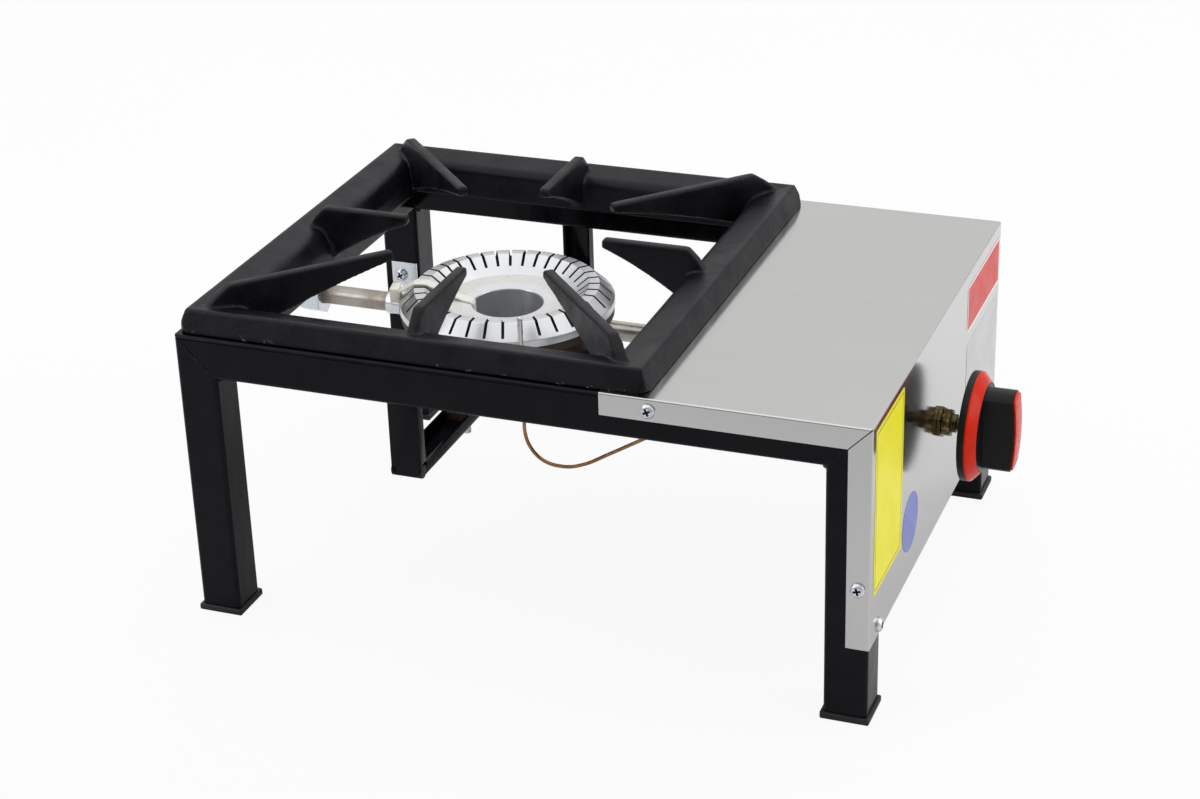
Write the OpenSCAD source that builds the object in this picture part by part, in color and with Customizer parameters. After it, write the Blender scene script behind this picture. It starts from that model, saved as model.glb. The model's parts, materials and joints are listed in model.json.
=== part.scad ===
// Single-burner table stove: welded tube frame, loose cast grate, slotted ring burner,
// folded stainless control cover, push-and-turn gas tap, and a gas pipe clamped along the back.
// Millimetres. +X points from the hose end to the knob, +Y to the back, +Z up, floor at z = 0.

/* [Frame] */
// Length of the frame along the front
frame_w = 410; // [390:1:480]
// Depth of the frame from front to back
frame_d = 300; // [280:1:360]
// Height of the top of the rails above the floor
frame_h = 180; // [165:1:260]
// Side of the square frame tube
tube = 25; // [20:1:30]
// Wall of the frame tube
tube_wall = 1.5; // [1:0.1:2.5]
// Thickness of a foot cap under its leg
foot_h = 4; // [2:0.5:8]
// How far a foot cap stands out around its leg
foot_lip = 1.5; // [0.5:0.5:3]
// Depth of the plug that holds a foot cap in its leg
foot_plug = 12; // [6:1:20]

/* [Grate] */
// Height of the cast rim above the rails
rim_h = 14; // [10:0.5:20]
// Lean of the rim's outer side
rim_draft = 5; // [2:0.5:8]
// Fall of the rim's top from its outer edge to its inner edge
rim_fall = 3; // [1:0.5:5]
// Width of the rim from its outer edge to where it rounds over
rim_w = 19.2; // [17:0.1:21]
// Corner radius of the rim
rim_corner = 10; // [6:1:16]
// Depth of the skirt that locates the grate inside the frame
skirt_h = 10.5; // [5:0.5:16]
// Thickness of the skirt at its lower edge
skirt_t = 4; // [3:0.5:6]
// Height of the finger tops above the rim
finger_rise = 11; // [6:0.5:16]
// Thickness of a finger
finger_t = 6.5; // [4:0.5:9]
// Height of a finger at its tip
finger_tip_h = 5.5; // [4:0.5:9]
// Height of a finger at its root
finger_root_h = 32; // [26:0.5:34]
// Radius of the circle that the four side fingers reach in to
side_tip_r = 63; // [50:1:75]
// Radius of the circle that the four corner fingers reach in to
corner_tip_r = 72; // [60:1:85]

/* [Cover] */
// Width of the folded cover's top along the front
cover_w = 151; // [145:1:165]
// Thickness of the cover sheet
sheet = 0.8; // [0.6:0.1:1.5]
// Height of the cover's narrow flanges
flange = 12.4; // [10:0.1:16]
// Height of the control panel below the rail tops
panel_h = 132.5; // [110:0.5:140]
// Radius of a cover screw's head
screw_head_r = 4.2; // [3.5:0.1:5]
// Radius of a cover screw's shank
screw_r = 1.9; // [1.5:0.1:2.2]
// Length of a cover screw under its head
screw_l = 10; // [6:0.5:14]

/* [Burner] */
// Outer radius of the burner cap
cap_r = 65; // [60:0.5:70]
// Outer radius of the cap's flat crest
crest_r = 56; // [53:0.5:58]
// Width of the flat crest
crest_w = 6.5; // [4:0.5:8]
// Height of the crest above the cap's seat
crest_h = 13.3; // [11:0.1:16]
// Radius of the bore through the cap
bore_r = 21.5; // [18:0.5:23]
// Outer radius of the cap's dish, where the slotted cone begins
dish_r = 38; // [36:0.5:40]
// Drop from the crest to the edge of the dish
dish_drop = 8.5; // [7:0.5:10]
// Radius where the flame slots start in the cone
slot_start_r = 42.5; // [41:0.5:44]
// Number of flame slots
slots = 36; // [24:2:44]
// Width of a flame slot
slot_w = 1.8; // [1:0.1:2]
// Height of the burner base from its lugs to the cap's seat
base_h = 46.5; // [42:0.5:52]
// Outer radius of the gas chamber
chamber_r = 50; // [48:0.5:54]
// Wall of the gas chamber
chamber_wall = 4; // [3:0.5:5]
// Thickness of the rim that carries the cap
seat_t = 5; // [4:0.5:7]
// Width of the nylon tie that holds the cap down
tie_w = 7.6; // [3.6:0.2:9]
// Thickness of the nylon tie
tie_t = 1.2; // [0.8:0.1:1.6]

/* [Bracket] */
// Width of the burner bracket
strap_w = 18.5; // [17:0.5:24]
// Thickness of the bracket's sheet
strap_t = 2; // [1.5:0.1:2.5]
// Height of the bracket's turned edges
strap_lip = 7; // [5:0.5:8]
// Drop of the bracket below the rails
strap_drop = 50; // [46:0.5:54]
// Distance of the bracket's arms from the frame's front and back faces
strap_inset = 11; // [8:0.5:13]
// Radius of a burner bolt
bolt_r = 2.4; // [2:0.1:2.5]

/* [Gas tap] */
// Depth of the tap axis below the rail tops
tap_drop = 65.3; // [62:0.1:68]
// Distance of the tap axis in front of the frame's middle
tap_y = 0; // [-8:0.5:8]
// Radius of the tap body
tap_r = 13; // [12:0.5:15]
// Radius of the threaded neck
neck_r = 6.4; // [6:0.1:6.8]
// Radius of the rotating plug
plug_r = 8; // [7:0.1:9]
// Radius of the spindle
spindle_r = 3.4; // [3.1:0.1:3.5]
// How far the knob pushes in
push = 4; // [2:0.5:4.5]
// Outer radius of the mixing tube
mixer_r = 11; // [10:0.5:12]
// Radius of the mixing tube's bell mouth
bell_r = 17; // [15:0.5:19]

/* [Knob] */
// Gap between the control panel and the back of the knob
knob_gap = 17.2; // [16:0.2:22]
// Radius of the knob's skirt
knob_r = 32; // [28:0.5:36]
// Width of the skirt's straight black edge
knob_edge = 5; // [4:0.5:7]
// Depth of the knob from back to front
knob_depth = 29; // [27:0.5:34]
// Thickness of the grip
grip_t = 18; // [14:0.5:20]
// Length of the grip
grip_l = 50; // [44:1:51]

/* [Gas pipe] */
// Radius of the gas pipe
pipe_r = 6.5; // [6:0.1:7]
// Wall of the gas pipe
pipe_wall = 1.6; // [1:0.1:2]
// Depth of the gas pipe's axis below the rail tops
pipe_drop = 90.5; // [86:0.5:96]
// How far the pipe stands out past the frame to the hose end
pipe_out = 50; // [40:1:70]
// Radius of the pipe's bend
bend_r = 25; // [20:1:30]
// Width of a hose nut across its flats
hose_nut_af = 24; // [22:0.5:27]
// Length of the hose nut
hose_nut_l = 14; // [10:1:18]
// Radius of the hose nozzle's plain part
nozzle_r = 4.4; // [4:0.1:5]
// Length of the hose nozzle outside its nut
nozzle_l = 30; // [26:1:40]
// Thickness of the pipe clamp's strip
clamp_t = 1.2; // [0.8:0.1:1.6]
// Width of the pipe clamp's strip
clamp_w = 18; // [14:0.5:20]

/* [Flame sensor] */
// Radius of the sensor's tip
sensor_r = 1.7; // [1.5:0.1:2]
// How far the sensor's tip stands above the cap's crest
sensor_rise = 10.5; // [6:0.5:16]
// Diameter of the copper lead
lead_d = 2.2; // [1.8:0.1:2.6]

/* [Hidden] */
$fn = 96;

// Clearances: laid-in parts, fixed round fits, turning fits, sheet holes, cut-through allowance
lay_gap = 0.1;
fit_gap = 0.06;
run_gap = 0.05;
hole_gap = 0.3;
over = 1;

// The frame's left face, placed so that hose nozzle and knob reach equally far from x = 0
nut_grip = 8;
nut_out = hose_nut_l - nut_grip;
reach_left = pipe_out + nut_out + nozzle_l;
reach_right = frame_w + sheet + knob_gap + knob_depth;
left_x = (reach_left - reach_right) / 2;
right_x = left_x + frame_w;
half_d = frame_d / 2;
rail_low = frame_h - tube;
bore_in = tube - 2 * tube_wall;
leg_y = half_d - tube / 2;
leg_mid_x = left_x + tube / 2;

// Cover and its screws: [x, y, z, turn about Z of the outward direction from +X]
cover_x = right_x - cover_w;
panel_low = frame_h - panel_h;
flange_screw_in = 28;
leg_screw_in = 6;
leg_screw_up = 37;
panel_screw_in = 18;
panel_screw_up = 6.5;
screw_head_h = 2.4;
cover_screw_places = [for (s = [-1, 1]) each [
    [cover_x + flange_screw_in, s * (half_d + sheet), frame_h - flange / 2, s * 90],
    [right_x - leg_screw_in, s * (half_d + sheet), panel_low + leg_screw_up, s * 90],
    [right_x + sheet, s * (half_d - panel_screw_in), panel_low + panel_screw_up, 0]]];

// Grate
seat_z = frame_h + lay_gap;
rim_z = frame_h + rim_h;
finger_z = rim_z + finger_rise;
skirt_z = frame_h - skirt_h;
skirt_gap = 1;
grate_lap = 2.2;
grate_inset = 2.5;
grate_right = cover_x + tube + grate_lap;
grate_mid = (left_x + grate_right) / 2;
grate_half_w = (grate_right - left_x) / 2;
grate_half_d = half_d - grate_inset;
crown = 2;
shoulder_r = 7;
skirt_lean = 1.3;
wall_in = tube + skirt_gap + skirt_t;
long_wall_in = wall_in - grate_inset;
right_wall_in = wall_in + grate_lap;
finger_edge = 1;
peak_in = 24;
heel_in = 13.5;
bury = 1.5;

// Burner stack on the bracket, centred under the grate
strap_z = rail_low - strap_drop;
strap_top = strap_z + strap_t;
strap_off = 7;
strap_x = grate_mid - strap_off;
base_z = strap_top;
seat_top = base_z + base_h;
crest_z = seat_top + crest_h;
crest_in = crest_r - crest_w;
dish_z = crest_z - dish_drop;
lip_z = dish_z - 1.5;
lip_w = 5.5;
lip_fall = 1.5;
lug_t = 6;
lug_side_gap = 1;
lug_w = strap_w - 2 * (strap_t + lug_side_gap);
lug_past = 3;
lug_reach = cap_r + lug_past;
bolt_in = 6;
bolt_y = cap_r - bolt_in;
bolt_off = 2.5;
bolt_head_h = 4;
bolt_out = 9.5;
bolt_l = lug_t + strap_t + bolt_out;
collar_t = 2.4;
collar_gap = 0.1;
collar_low = base_z + 10;
inner_wall_r = bore_r + collar_t + collar_gap;
cap_t = 4;
slot_start_z = crest_z - dish_drop * (crest_in - slot_start_r) / (crest_in - dish_r);
seat_r = cap_r - 0.5;
edge_h = 4.8;
rim_under = 10;
slot_deep = 1.5;
tie_turn = 194;
tie_gap = 0.3;
tie_head = 5.5;
tie_head_l = 9;
tie_head_up = 2.5;
tie_rise = 3;

// Tap, mixing tube and knob, measured along the tap axis from the panel's inner face
tap_z = frame_h - tap_drop;
panel_x = right_x;
body_back = panel_x - 52;
port_back = body_back - 5;
port_r = 9;
jet_r = 4;
jet_af = 12;
jet_hex_l = 6;
jet_tip_r = 3.4;
jet_bore_r = 2;
jet_hole_r = 0.5;
jet_nose = 4;
gas_bore_r = 2.5;
plug_bore_l = 8;
side_port_r = 1.5;
plug_back = body_back + 9;
plug_front = panel_x - 11;
counterbore = push + 1;
key = 4.2;
key_l = 15;
spindle_start = plug_front + 0.5;
neck_out = 8.4;
collar_out = 2.8;
lock_af = 17;
lock_l = 2.4;
gland_af = 15;
gland_l = 4.4;
gland_at = 2.8;
knob_back = panel_x + sheet + knob_gap;
knob_front = knob_back + knob_depth;
ring_rise = 5.2;
knob_plate = knob_back + knob_edge + ring_rise;
grip_root = 2;
knob_wall = 2.5;
ring_t = 1.2;
ring_inner_r = knob_r - 6;
grip_end_r = 12;
crown_r = 160;
insert_t = 1.2;
insert_in = 1.2;
hub_r = 7;
spindle_end = knob_front - 10;
mixer_wall = 1.8;
mixer_start = grate_mid + 48;
mixer_boss_end = grate_mid + 72;
mixer_boss_wall = 4.5;
boss_start = grate_mid + 30;
boss_bore_start = boss_start + 3;
bell_l = 18;
jet_tip = body_back - 29;
mixer_end = jet_tip + 8;

// Gas pipe: one run along the back, one bend, one run up to the tap's inlet at a slant
pipe_z = frame_h - pipe_drop;
pipe_y = half_d - tube - clamp_t - pipe_r - fit_gap;
inlet_x = panel_x - 35;
slant_run = [pipe_y + tap_y, tap_z - pipe_z];
slant = atan2(slant_run[1], slant_run[0]);
slant_l = norm(slant_run);
inlet_boss_r = 9;
inlet_boss_l = 26;
socket_l = 8;
union_af = 19;
union_l = 12;
clamp_off = 2.3;
clamp_up = 27;
clamp_screw_up = 17.8;
clamp_screw_r = 1.9;
clamp_screw_l = 9;
barbs = 4;
barb_step = 6;
barb_rise = 0.8;
barb_land = 1.2;
barb_slope = 3.6;
nozzle_wall = 1.4;

// Flame sensor: its place beside the cap and its clip on the burner base
sensor_x = grate_mid + 34.4;
sensor_y = -63;
sensor_top = crest_z + sensor_rise;
sensor_stem_r = 2.2;
sensor_stem_low = base_z + 12;
sensor_collar_r = 3.4;
sensor_collar_h = 5;
sensor_tip_l = 27;
sensor_turn = atan2(sensor_y, sensor_x - grate_mid);
sensor_dist = norm([sensor_x - grate_mid, sensor_y]);
clip_z = base_z + 31;
clip_t = 1.5;
clip_w = 12;
clip_screw_dist = chamber_r + 4;
clip_lug_h = 7;
clip_lug_l = 9;
clip_screw_r = 1.4;
clip_screw_l = 7;
sensor_nut_x = panel_x - 43.5;
sensor_nut_af = 9;
sensor_nut_l = 9;

// Route of the copper lead: bends counted from the sensor's collar, then from the tap's side port
sensor_port_r = 5;
sensor_port_l = tap_r + 2;
lead_in = 2;
lead_start = [sensor_x, sensor_y, sensor_stem_low + lead_in - fit_gap];
lead_end = [sensor_nut_x, -tap_y - sensor_port_l - sensor_nut_l / 2, tap_z];
first_bends = [[0, 0, 0], [0, 0, -9], [0, 0, -17], [2, 0, -25], [7, 0, -32], [14, 0, -36], [22, 0, -37],
    [30, 0, -36], [40, 0, -32], [50, 0, -26], [60, 0, -20], [71, -1, -13]];
last_bends = [[-100, -43, 3.5], [-83, -39, 10], [-59, -33, 14], [-36, -27, 13], [-19, -22, 9], [-7, -15, 3],
    [-1, -8, 0], [0, -4, 0], [0, 0, 0]];
lead_route = concat([for (p = first_bends) lead_start + p], [for (p = last_bends) lead_end + p]);

// Points of an arc in the plane, from angle a to angle b
function arc(c, r, a, b, n) = [for (i = [0:n]) let (t = a + (b - a) * i / n) c + r * [cos(t), sin(t)]];

function reversed(v) = [for (i = [len(v) - 1:-1:0]) v[i]];

// A smooth curve through a route: point i + t of it, and its direction
function pick(p, i) = p[max(0, min(len(p) - 1, i))];
function spline(p, i, t) = let (a = pick(p, i - 1), b = pick(p, i), c = pick(p, i + 1), d = pick(p, i + 2))
    b + t / 2 * ((c - a) + t * ((2 * a - 5 * b + 4 * c - d) + t * (3 * b - 3 * c + d - a)));
function unit(v) = v / norm(v);
function along(p, i) = unit(pick(p, i + 1) - pick(p, i - 1));
function beside(d) = unit(cross(d, [0.3, 1, 0.2]));

module black_paint() color([0.09, 0.09, 0.1]) children();
module cast_iron() color([0.17, 0.17, 0.18]) children();
module stainless() color([0.8, 0.8, 0.79]) children();
module zinc() color([0.78, 0.8, 0.82]) children();
module brass() color([0.72, 0.58, 0.3]) children();
module black_plastic() color([0.07, 0.07, 0.08]) children();
module red_plastic() color([0.84, 0.13, 0.05]) children();

// A plate between two opposite corners
module block(lo, hi) translate(lo) cube(hi - lo);

// An outline in the X-Z plane, thick along Y from y0 to y1
module upright(y0, y1) translate([0, y1, 0]) rotate([90, 0, 0]) linear_extrude(y1 - y0) children();

// Things on the tap axis, drawn along +Z, from a given X
module on_tap(x) translate([x, -tap_y, tap_z]) rotate([0, 90, 0]) children();
module tap_rod(x0, x1, r) on_tap(x0) cylinder(h = x1 - x0, r = r);
module tap_hex(x0, x1, af) on_tap(x0) cylinder(h = x1 - x0, d = af / cos(30), $fn = 6);

// Things in the slanted plane of the gas pipe, with the back run's axis as its X axis
module on_pipe(x = 0) translate([x, pipe_y, pipe_z]) rotate([-slant, 0, 0]) children();

// Things on the burner's axis
module on_burner(z = 0) translate([grate_mid, 0, z]) children();

// Pan head above z = 0 with a shank below it
module pan_screw(head_r, head_h, r, l) {
    dome = (head_r * head_r + head_h * head_h) / (2 * head_h) + head_h / 2;
    intersection() {
        cylinder(h = head_h, r = head_r);
        translate([0, 0, head_h - dome]) sphere(r = dome);
    }
    translate([0, 0, -l]) cylinder(h = l, r = r);
}

// Turned to a cover screw's place, +Z outwards
module at_cover_screw(p) translate([p[0], p[1], p[2]]) rotate([0, 0, p[3]]) rotate([0, 90, 0]) children();

module cover_screw_holes(r) for (p = cover_screw_places)
    at_cover_screw(p) translate([0, 0, -screw_l - over]) cylinder(h = screw_l + 2 * over, r = r);

// Frame tubes
module arch_rail(y0) difference() {
    translate([left_x, 0, 0]) difference() {
        upright(y0, y0 + tube)
            polygon([[0, frame_h], [frame_w, frame_h], [frame_w - tube, rail_low], [tube, rail_low]]);
        upright(y0 + tube_wall, y0 + tube - tube_wall) polygon([
            [tube_wall, frame_h - tube_wall], [frame_w - tube_wall, frame_h - tube_wall],
            [frame_w - tube + tube_wall, rail_low + tube_wall], [tube - tube_wall, rail_low + tube_wall]]);
    }
    cover_screw_holes(screw_r + fit_gap);
}

module arch_leg(y0) difference() {
    upright(y0, y0 + tube) polygon([[0, foot_h], [tube, foot_h], [tube, rail_low], [0, frame_h]]);
    upright(y0 + tube_wall, y0 + tube - tube_wall) polygon([[tube_wall, foot_h - over],
        [tube - tube_wall, foot_h - over], [tube - tube_wall, rail_low + tube_wall],
        [tube_wall, frame_h - tube_wall]]);
}

module left_leg(y0) translate([left_x, 0, 0]) arch_leg(y0);
module right_leg(y0) difference() {
    translate([right_x, 0, 0]) mirror([1, 0, 0]) arch_leg(y0);
    cover_screw_holes(screw_r + fit_gap);
}

// A straight tube from the front arch to the back arch
module side_tube(x) difference() {
    block([x, tube - half_d, rail_low], [x + tube, half_d - tube, frame_h]);
    block([x + tube_wall, -half_d, rail_low + tube_wall],
        [x + tube - tube_wall, half_d, frame_h - tube_wall]);
}

module front_rail() black_paint() arch_rail(-half_d);
module back_rail() black_paint() arch_rail(half_d - tube);
module left_rail() black_paint() side_tube(left_x);
module right_rail() black_paint() side_tube(right_x - tube);
module cross_rail() black_paint() side_tube(cover_x);
module leg_front_left() black_paint() left_leg(-half_d);
module leg_front_right() black_paint() right_leg(-half_d);
module leg_back_left() black_paint() difference() {
    left_leg(half_d - tube);
    at_clamp_screw() translate([0, 0, -clamp_screw_l - over])
        cylinder(h = clamp_screw_l + 2 * over, r = clamp_screw_r + fit_gap);
}
module leg_back_right() black_paint() right_leg(half_d - tube);

// Foot caps
module foot(x, y) black_plastic() {
    out = tube + 2 * foot_lip;
    plug = bore_in - 2 * lay_gap;
    translate([x - out / 2, y - out / 2, 0]) cube([out, out, foot_h]);
    translate([x - plug / 2, y - plug / 2, 0]) cube([plug, plug, foot_h + foot_plug]);
}

module foot_front_left() foot(leg_mid_x, -leg_y);
module foot_front_right() foot(right_x - tube / 2, -leg_y);
module foot_back_left() foot(leg_mid_x, leg_y);
module foot_back_right() foot(right_x - tube / 2, leg_y);

// Grate: a leaning rim with a dropped skirt, and eight fingers
module rim_body() {
    low = [grate_half_w, grate_half_d];
    top = low - [rim_draft, rim_draft];
    intersection() {
        upright(-grate_half_d, grate_half_d)
            polygon([[-low[0], seat_z], [low[0], seat_z], [top[0], rim_z], [-top[0], rim_z]]);
        rotate([0, 0, 90]) upright(-grate_half_w, grate_half_w)
            polygon([[-low[1], seat_z], [low[1], seat_z], [top[1], rim_z], [-top[1], rim_z]]);
        translate([0, 0, seat_z]) linear_extrude(rim_h) rounded_box(2 * low[0], 2 * low[1], rim_corner);
    }
}

module rounded_box(w, d, r) {
    square([w - 2 * r, d], center = true);
    square([w, d - 2 * r], center = true);
    for (sx = [-1, 1], sy = [-1, 1]) translate([sx * (w / 2 - r), sy * (d / 2 - r)]) circle(r = r);
}

// Section of the rim's inner side from the skirt up, as [distance in from the outer edge, height]:
// the skirt's inner face is at wall, and the rim starts to round over at edge
function rim_wall(wall, edge) = concat(
    [[wall, skirt_z - over], [wall, skirt_z], [wall - skirt_lean, seat_z]],
    arc([edge, rim_z - rim_fall - shoulder_r], shoulder_r, 20, 78, 6),
    [[rim_draft + crown, rim_z], [rim_draft + crown, rim_z + over]]);

// The opening inside the rim: what its long section and its cross section both leave free
module rim_opening() {
    left = [for (p = rim_wall(wall_in, rim_w)) [left_x + p[0], p[1]]];
    right = [for (p = rim_wall(right_wall_in, rim_w + grate_lap)) [grate_right - p[0], p[1]]];
    front = [for (p = rim_wall(long_wall_in, rim_w)) [p[0] - grate_half_d, p[1]]];
    back = [for (p = rim_wall(long_wall_in, rim_w)) [grate_half_d - p[0], p[1]]];
    intersection() {
        upright(-half_d, half_d) polygon(concat(left, reversed(right)));
        translate([grate_mid, 0, 0]) rotate([0, 0, 90]) upright(-frame_w, frame_w)
            polygon(concat(front, reversed(back)));
    }
}

// One finger in the X-Z plane, from its tip to the rim: the skirt's inner face is at radius wall, and
// stretch lengthens what lies over the rim where a finger meets it slantwise
module finger(tip, wall, stretch) {
    peak = wall + (wall_in - peak_in) * stretch;
    heel = wall + (wall_in - heel_in) * stretch;
    buried = wall + bury * stretch;
    low = finger_z - finger_root_h;
    heel_z = rim_z - rim_fall;
    deep = finger_root_h - finger_tip_h;
    steps = 10;
    lower = [for (i = [0:steps]) let (t = i / steps)
        [tip + (wall - tip) * t, finger_z - finger_tip_h - deep * (0.7 * t + 0.3 * t * t)]];
    upright(-finger_t / 2, finger_t / 2) polygon(concat(lower,
        [[buried, low], [buried, seat_z + bury], [heel, heel_z],
         [(peak + heel) / 2, finger_z - 0.45 * (finger_z - heel_z)], [peak, finger_z - finger_edge],
         [peak - 2 * finger_edge, finger_z], [tip + finger_edge, finger_z], [tip, finger_z - finger_edge]]));
}

// Four fingers square to the rim, and four that run to its corners
module fingers() on_burner() {
    left = grate_half_w - wall_in;
    right = grate_half_w - right_wall_in;
    long = grate_half_d - long_wall_in;
    rotate([0, 0, 180]) finger(side_tip_r, left, 1);
    finger(side_tip_r, right, 1);
    for (a = [90, 270]) rotate([0, 0, a]) finger(side_tip_r, long, 1);
    for (corner = [[left, 1], [right, 0]], s = [0, 1]) mirror([0, s, 0]) mirror([corner[1], 0, 0]) {
        reach = norm([corner[0], long]);
        rotate([0, 0, atan2(long, corner[0])]) finger(corner_tip_r, reach, reach / corner[0]);
    }
}

module grate() cast_iron() difference() {
    union() {
        difference() {
            union() {
                on_burner() rim_body();
                block([left_x + tube + skirt_gap, -half_d + tube + skirt_gap, skirt_z],
                    [cover_x - skirt_gap, half_d - tube - skirt_gap, seat_z + over]);
            }
            rim_opening();
        }
        fingers();
    }
    block([cover_x - hole_gap, -frame_d, frame_h - over], [right_x, frame_d, frame_h + sheet + lay_gap]);
}

// Folded cover with its flanges, screw holes and the hole for the tap's neck
module control_cover() stainless() difference() {
    out_y = half_d + sheet;
    union() {
        block([cover_x, -out_y, frame_h], [right_x + sheet, out_y, frame_h + sheet]);
        block([right_x, -out_y, panel_low], [right_x + sheet, out_y, frame_h]);
        for (y = [-out_y, half_d]) {
            block([cover_x, y, frame_h - flange], [right_x, y + sheet, frame_h]);
            block([right_x - flange, y, panel_low], [right_x, y + sheet, frame_h]);
        }
    }
    cover_screw_holes(screw_r + hole_gap);
    tap_rod(panel_x - over, panel_x + sheet + over, neck_r + hole_gap);
}

module cover_screws() zinc() for (p = cover_screw_places)
    at_cover_screw(p) pan_screw(screw_head_r, screw_head_h, screw_r, screw_l);

// Channel bracket under the burner: two arms on the rails and a strap between them
module burner_bracket() black_paint() difference() {
    arm_y = half_d - strap_inset;
    notch = strap_lip + 1;
    lobe_r = strap_t * 2;
    x0 = strap_x - strap_w / 2;
    x1 = strap_x + strap_w / 2;
    union() {
        block([x0, -arm_y, strap_z], [x1, arm_y, strap_top]);
        for (x = [x0, x1 - strap_t])
            block([x, notch - arm_y, strap_z], [x + strap_t, arm_y - notch, strap_z + strap_lip]);
        for (s = [0, 1]) mirror([0, s, 0]) {
            block([x0, -arm_y, strap_z], [x1, strap_t - arm_y, rail_low]);
            for (x = [x0, x1 - strap_t]) {
                block([x, -arm_y, strap_z + notch], [x + strap_t, strap_lip - arm_y, rail_low]);
                translate([x, lobe_r - arm_y - strap_t / 2, strap_z + lobe_r - strap_t / 2])
                    rotate([0, 90, 0]) cylinder(h = strap_t, r = lobe_r);
            }
        }
    }
    burner_bolt_holes(strap_z);
}

module at_burner_bolts() for (s = [-1, 1])
    translate([strap_x + bolt_off, s * bolt_y, base_z + lug_t]) children();

module burner_bolt_holes(low) at_burner_bolts() {
    deep = base_z + lug_t - low;
    translate([0, 0, -deep - over]) cylinder(h = deep + 2 * over, r = bolt_r + fit_gap);
}

// Cast base: ring chamber, cap seat, two lugs, a boss for the mixing tube and a lug for the sensor clip
module burner_base() cast_iron() difference() {
    union() {
        on_burner(base_z + lug_t) cylinder(h = base_h - lug_t - seat_t / 2, r = chamber_r);
        on_burner(seat_top - seat_t) cylinder(h = seat_t, r = seat_r);
        block([strap_x - lug_w / 2, -lug_reach, base_z], [strap_x + lug_w / 2, lug_reach, base_z + lug_t]);
        tap_rod(boss_start, mixer_boss_end, mixer_r + mixer_boss_wall);
        on_burner(clip_z - clip_lug_h) rotate([0, 0, sensor_turn])
            translate([chamber_r - chamber_wall, -clip_w / 2, 0])
                cube([chamber_wall + clip_lug_l, clip_w, clip_lug_h]);
    }
    on_burner(base_z + lug_t + chamber_wall) difference() {
        cylinder(h = base_h, r = chamber_r - chamber_wall);
        cylinder(h = base_h - lug_t - chamber_wall - seat_t, r = inner_wall_r + chamber_wall);
    }
    on_burner(base_z - over) cylinder(h = base_h + 2 * over, r = inner_wall_r);
    tap_rod(boss_bore_start, mixer_boss_end + over, mixer_r - mixer_wall);
    tap_rod(mixer_start - fit_gap, mixer_boss_end + over, mixer_r + fit_gap);
    burner_bolt_holes(base_z);
    at_clip_screw() translate([0, 0, -clip_screw_l])
        cylinder(h = clip_screw_l + over, r = clip_screw_r + fit_gap);
}

module at_clip_screw() on_burner(clip_z) rotate([0, 0, sensor_turn])
    translate([clip_screw_dist, 0, clip_t]) children();

// Slotted ring cap with a collar down through the base
module burner_cap() color([0.83, 0.83, 0.8]) difference() {
    collar_r = bore_r + collar_t;
    slot_low = crest_z - cap_t - slot_deep;
    on_burner() rotate_extrude() polygon([
        [bore_r, collar_low], [bore_r, lip_z - lip_fall], [bore_r + lip_w, lip_z], [dish_r, dish_z],
        [crest_in, crest_z], [crest_r, crest_z], [cap_r, seat_top + edge_h], [cap_r, seat_top],
        [cap_r - rim_under, seat_top], [crest_r - cap_t - 0.5, crest_z - cap_t - 1],
        [dish_r + 2, dish_z - cap_t], [collar_r + 1, lip_z - cap_t], [collar_r, lip_z - cap_t - 1],
        [collar_r, collar_low]]);
    for (i = [0:slots - 1]) on_burner() rotate([0, 0, i * 360 / slots])
        upright(-slot_w / 2, slot_w / 2) polygon([[slot_start_r, crest_z + over],
            [slot_start_r, slot_start_z - 0.6], [crest_in - 1, slot_low], [crest_r + 1, slot_low],
            [cap_r - 2, seat_top + edge_h + 1.2], [cap_r - 1, seat_top + edge_h + 3],
            [crest_r + 2, crest_z + over]]);
}

module burner_bolts() zinc() at_burner_bolts() {
    cylinder(h = bolt_head_h, d = 4 * bolt_r / cos(30), $fn = 6);
    translate([0, 0, -bolt_l]) cylinder(h = bolt_l, r = bolt_r);
}

// Nylon tie around the ring's section: through the bore, over the cap and back under the base
function tie_line(g, low) = [[bore_r - g, low - g], [bore_r - g, lip_z - lip_fall + g / 2],
    [bore_r + lip_w - g / 4, lip_z + g], [crest_in - g / 2, crest_z + g], [crest_r + g / 2, crest_z + g],
    [cap_r + g, seat_top + edge_h + tie_rise + g / 2], [cap_r + g, seat_top - seat_t - g / 4],
    [chamber_r + g, low - g]];
module cable_tie() color([0.9, 0.87, 0.76]) on_burner() rotate([0, 0, tie_turn]) {
    low = base_z + lug_t;
    head_w = tie_w * 1.4;
    difference() {
        upright(-tie_w / 2, tie_w / 2) polygon(tie_line(tie_gap + tie_t, low));
        upright(-tie_w, tie_w) polygon(tie_line(tie_gap, low));
    }
    translate([cap_r + tie_gap + tie_t / 2, -head_w / 2, seat_top + tie_head_up])
        cube([tie_head, head_w, tie_head_l]);
}

// Mixing tube with its bell mouth towards the injector
module mixing_tube() color([0.5, 0.46, 0.42]) on_tap(mixer_start) {
    l = mixer_end - mixer_start;
    flare = bell_r - mixer_r;
    rotate_extrude() polygon(concat(
        [[mixer_r - mixer_wall, 0], [mixer_r, 0], [mixer_r, l - bell_l]],
        [for (i = [1:6]) [mixer_r + flare * pow(i / 6, 2), l - bell_l * (1 - i / 6)]],
        [for (i = [6:-1:1]) [mixer_r - mixer_wall + flare * pow(i / 6, 2), l - bell_l * (1 - i / 6)]],
        [[mixer_r - mixer_wall, l - bell_l]]));
}

module injector() brass() difference() {
    union() {
        tap_rod(port_back, plug_back - jet_nose, jet_r);
        tap_hex(port_back - jet_hex_l, port_back, jet_af);
        tap_rod(jet_tip, port_back - jet_hex_l, jet_tip_r);
    }
    tap_rod(jet_tip + jet_nose, plug_back, jet_bore_r);
    tap_rod(jet_tip - over, plug_back, jet_hole_r);
}

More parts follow.
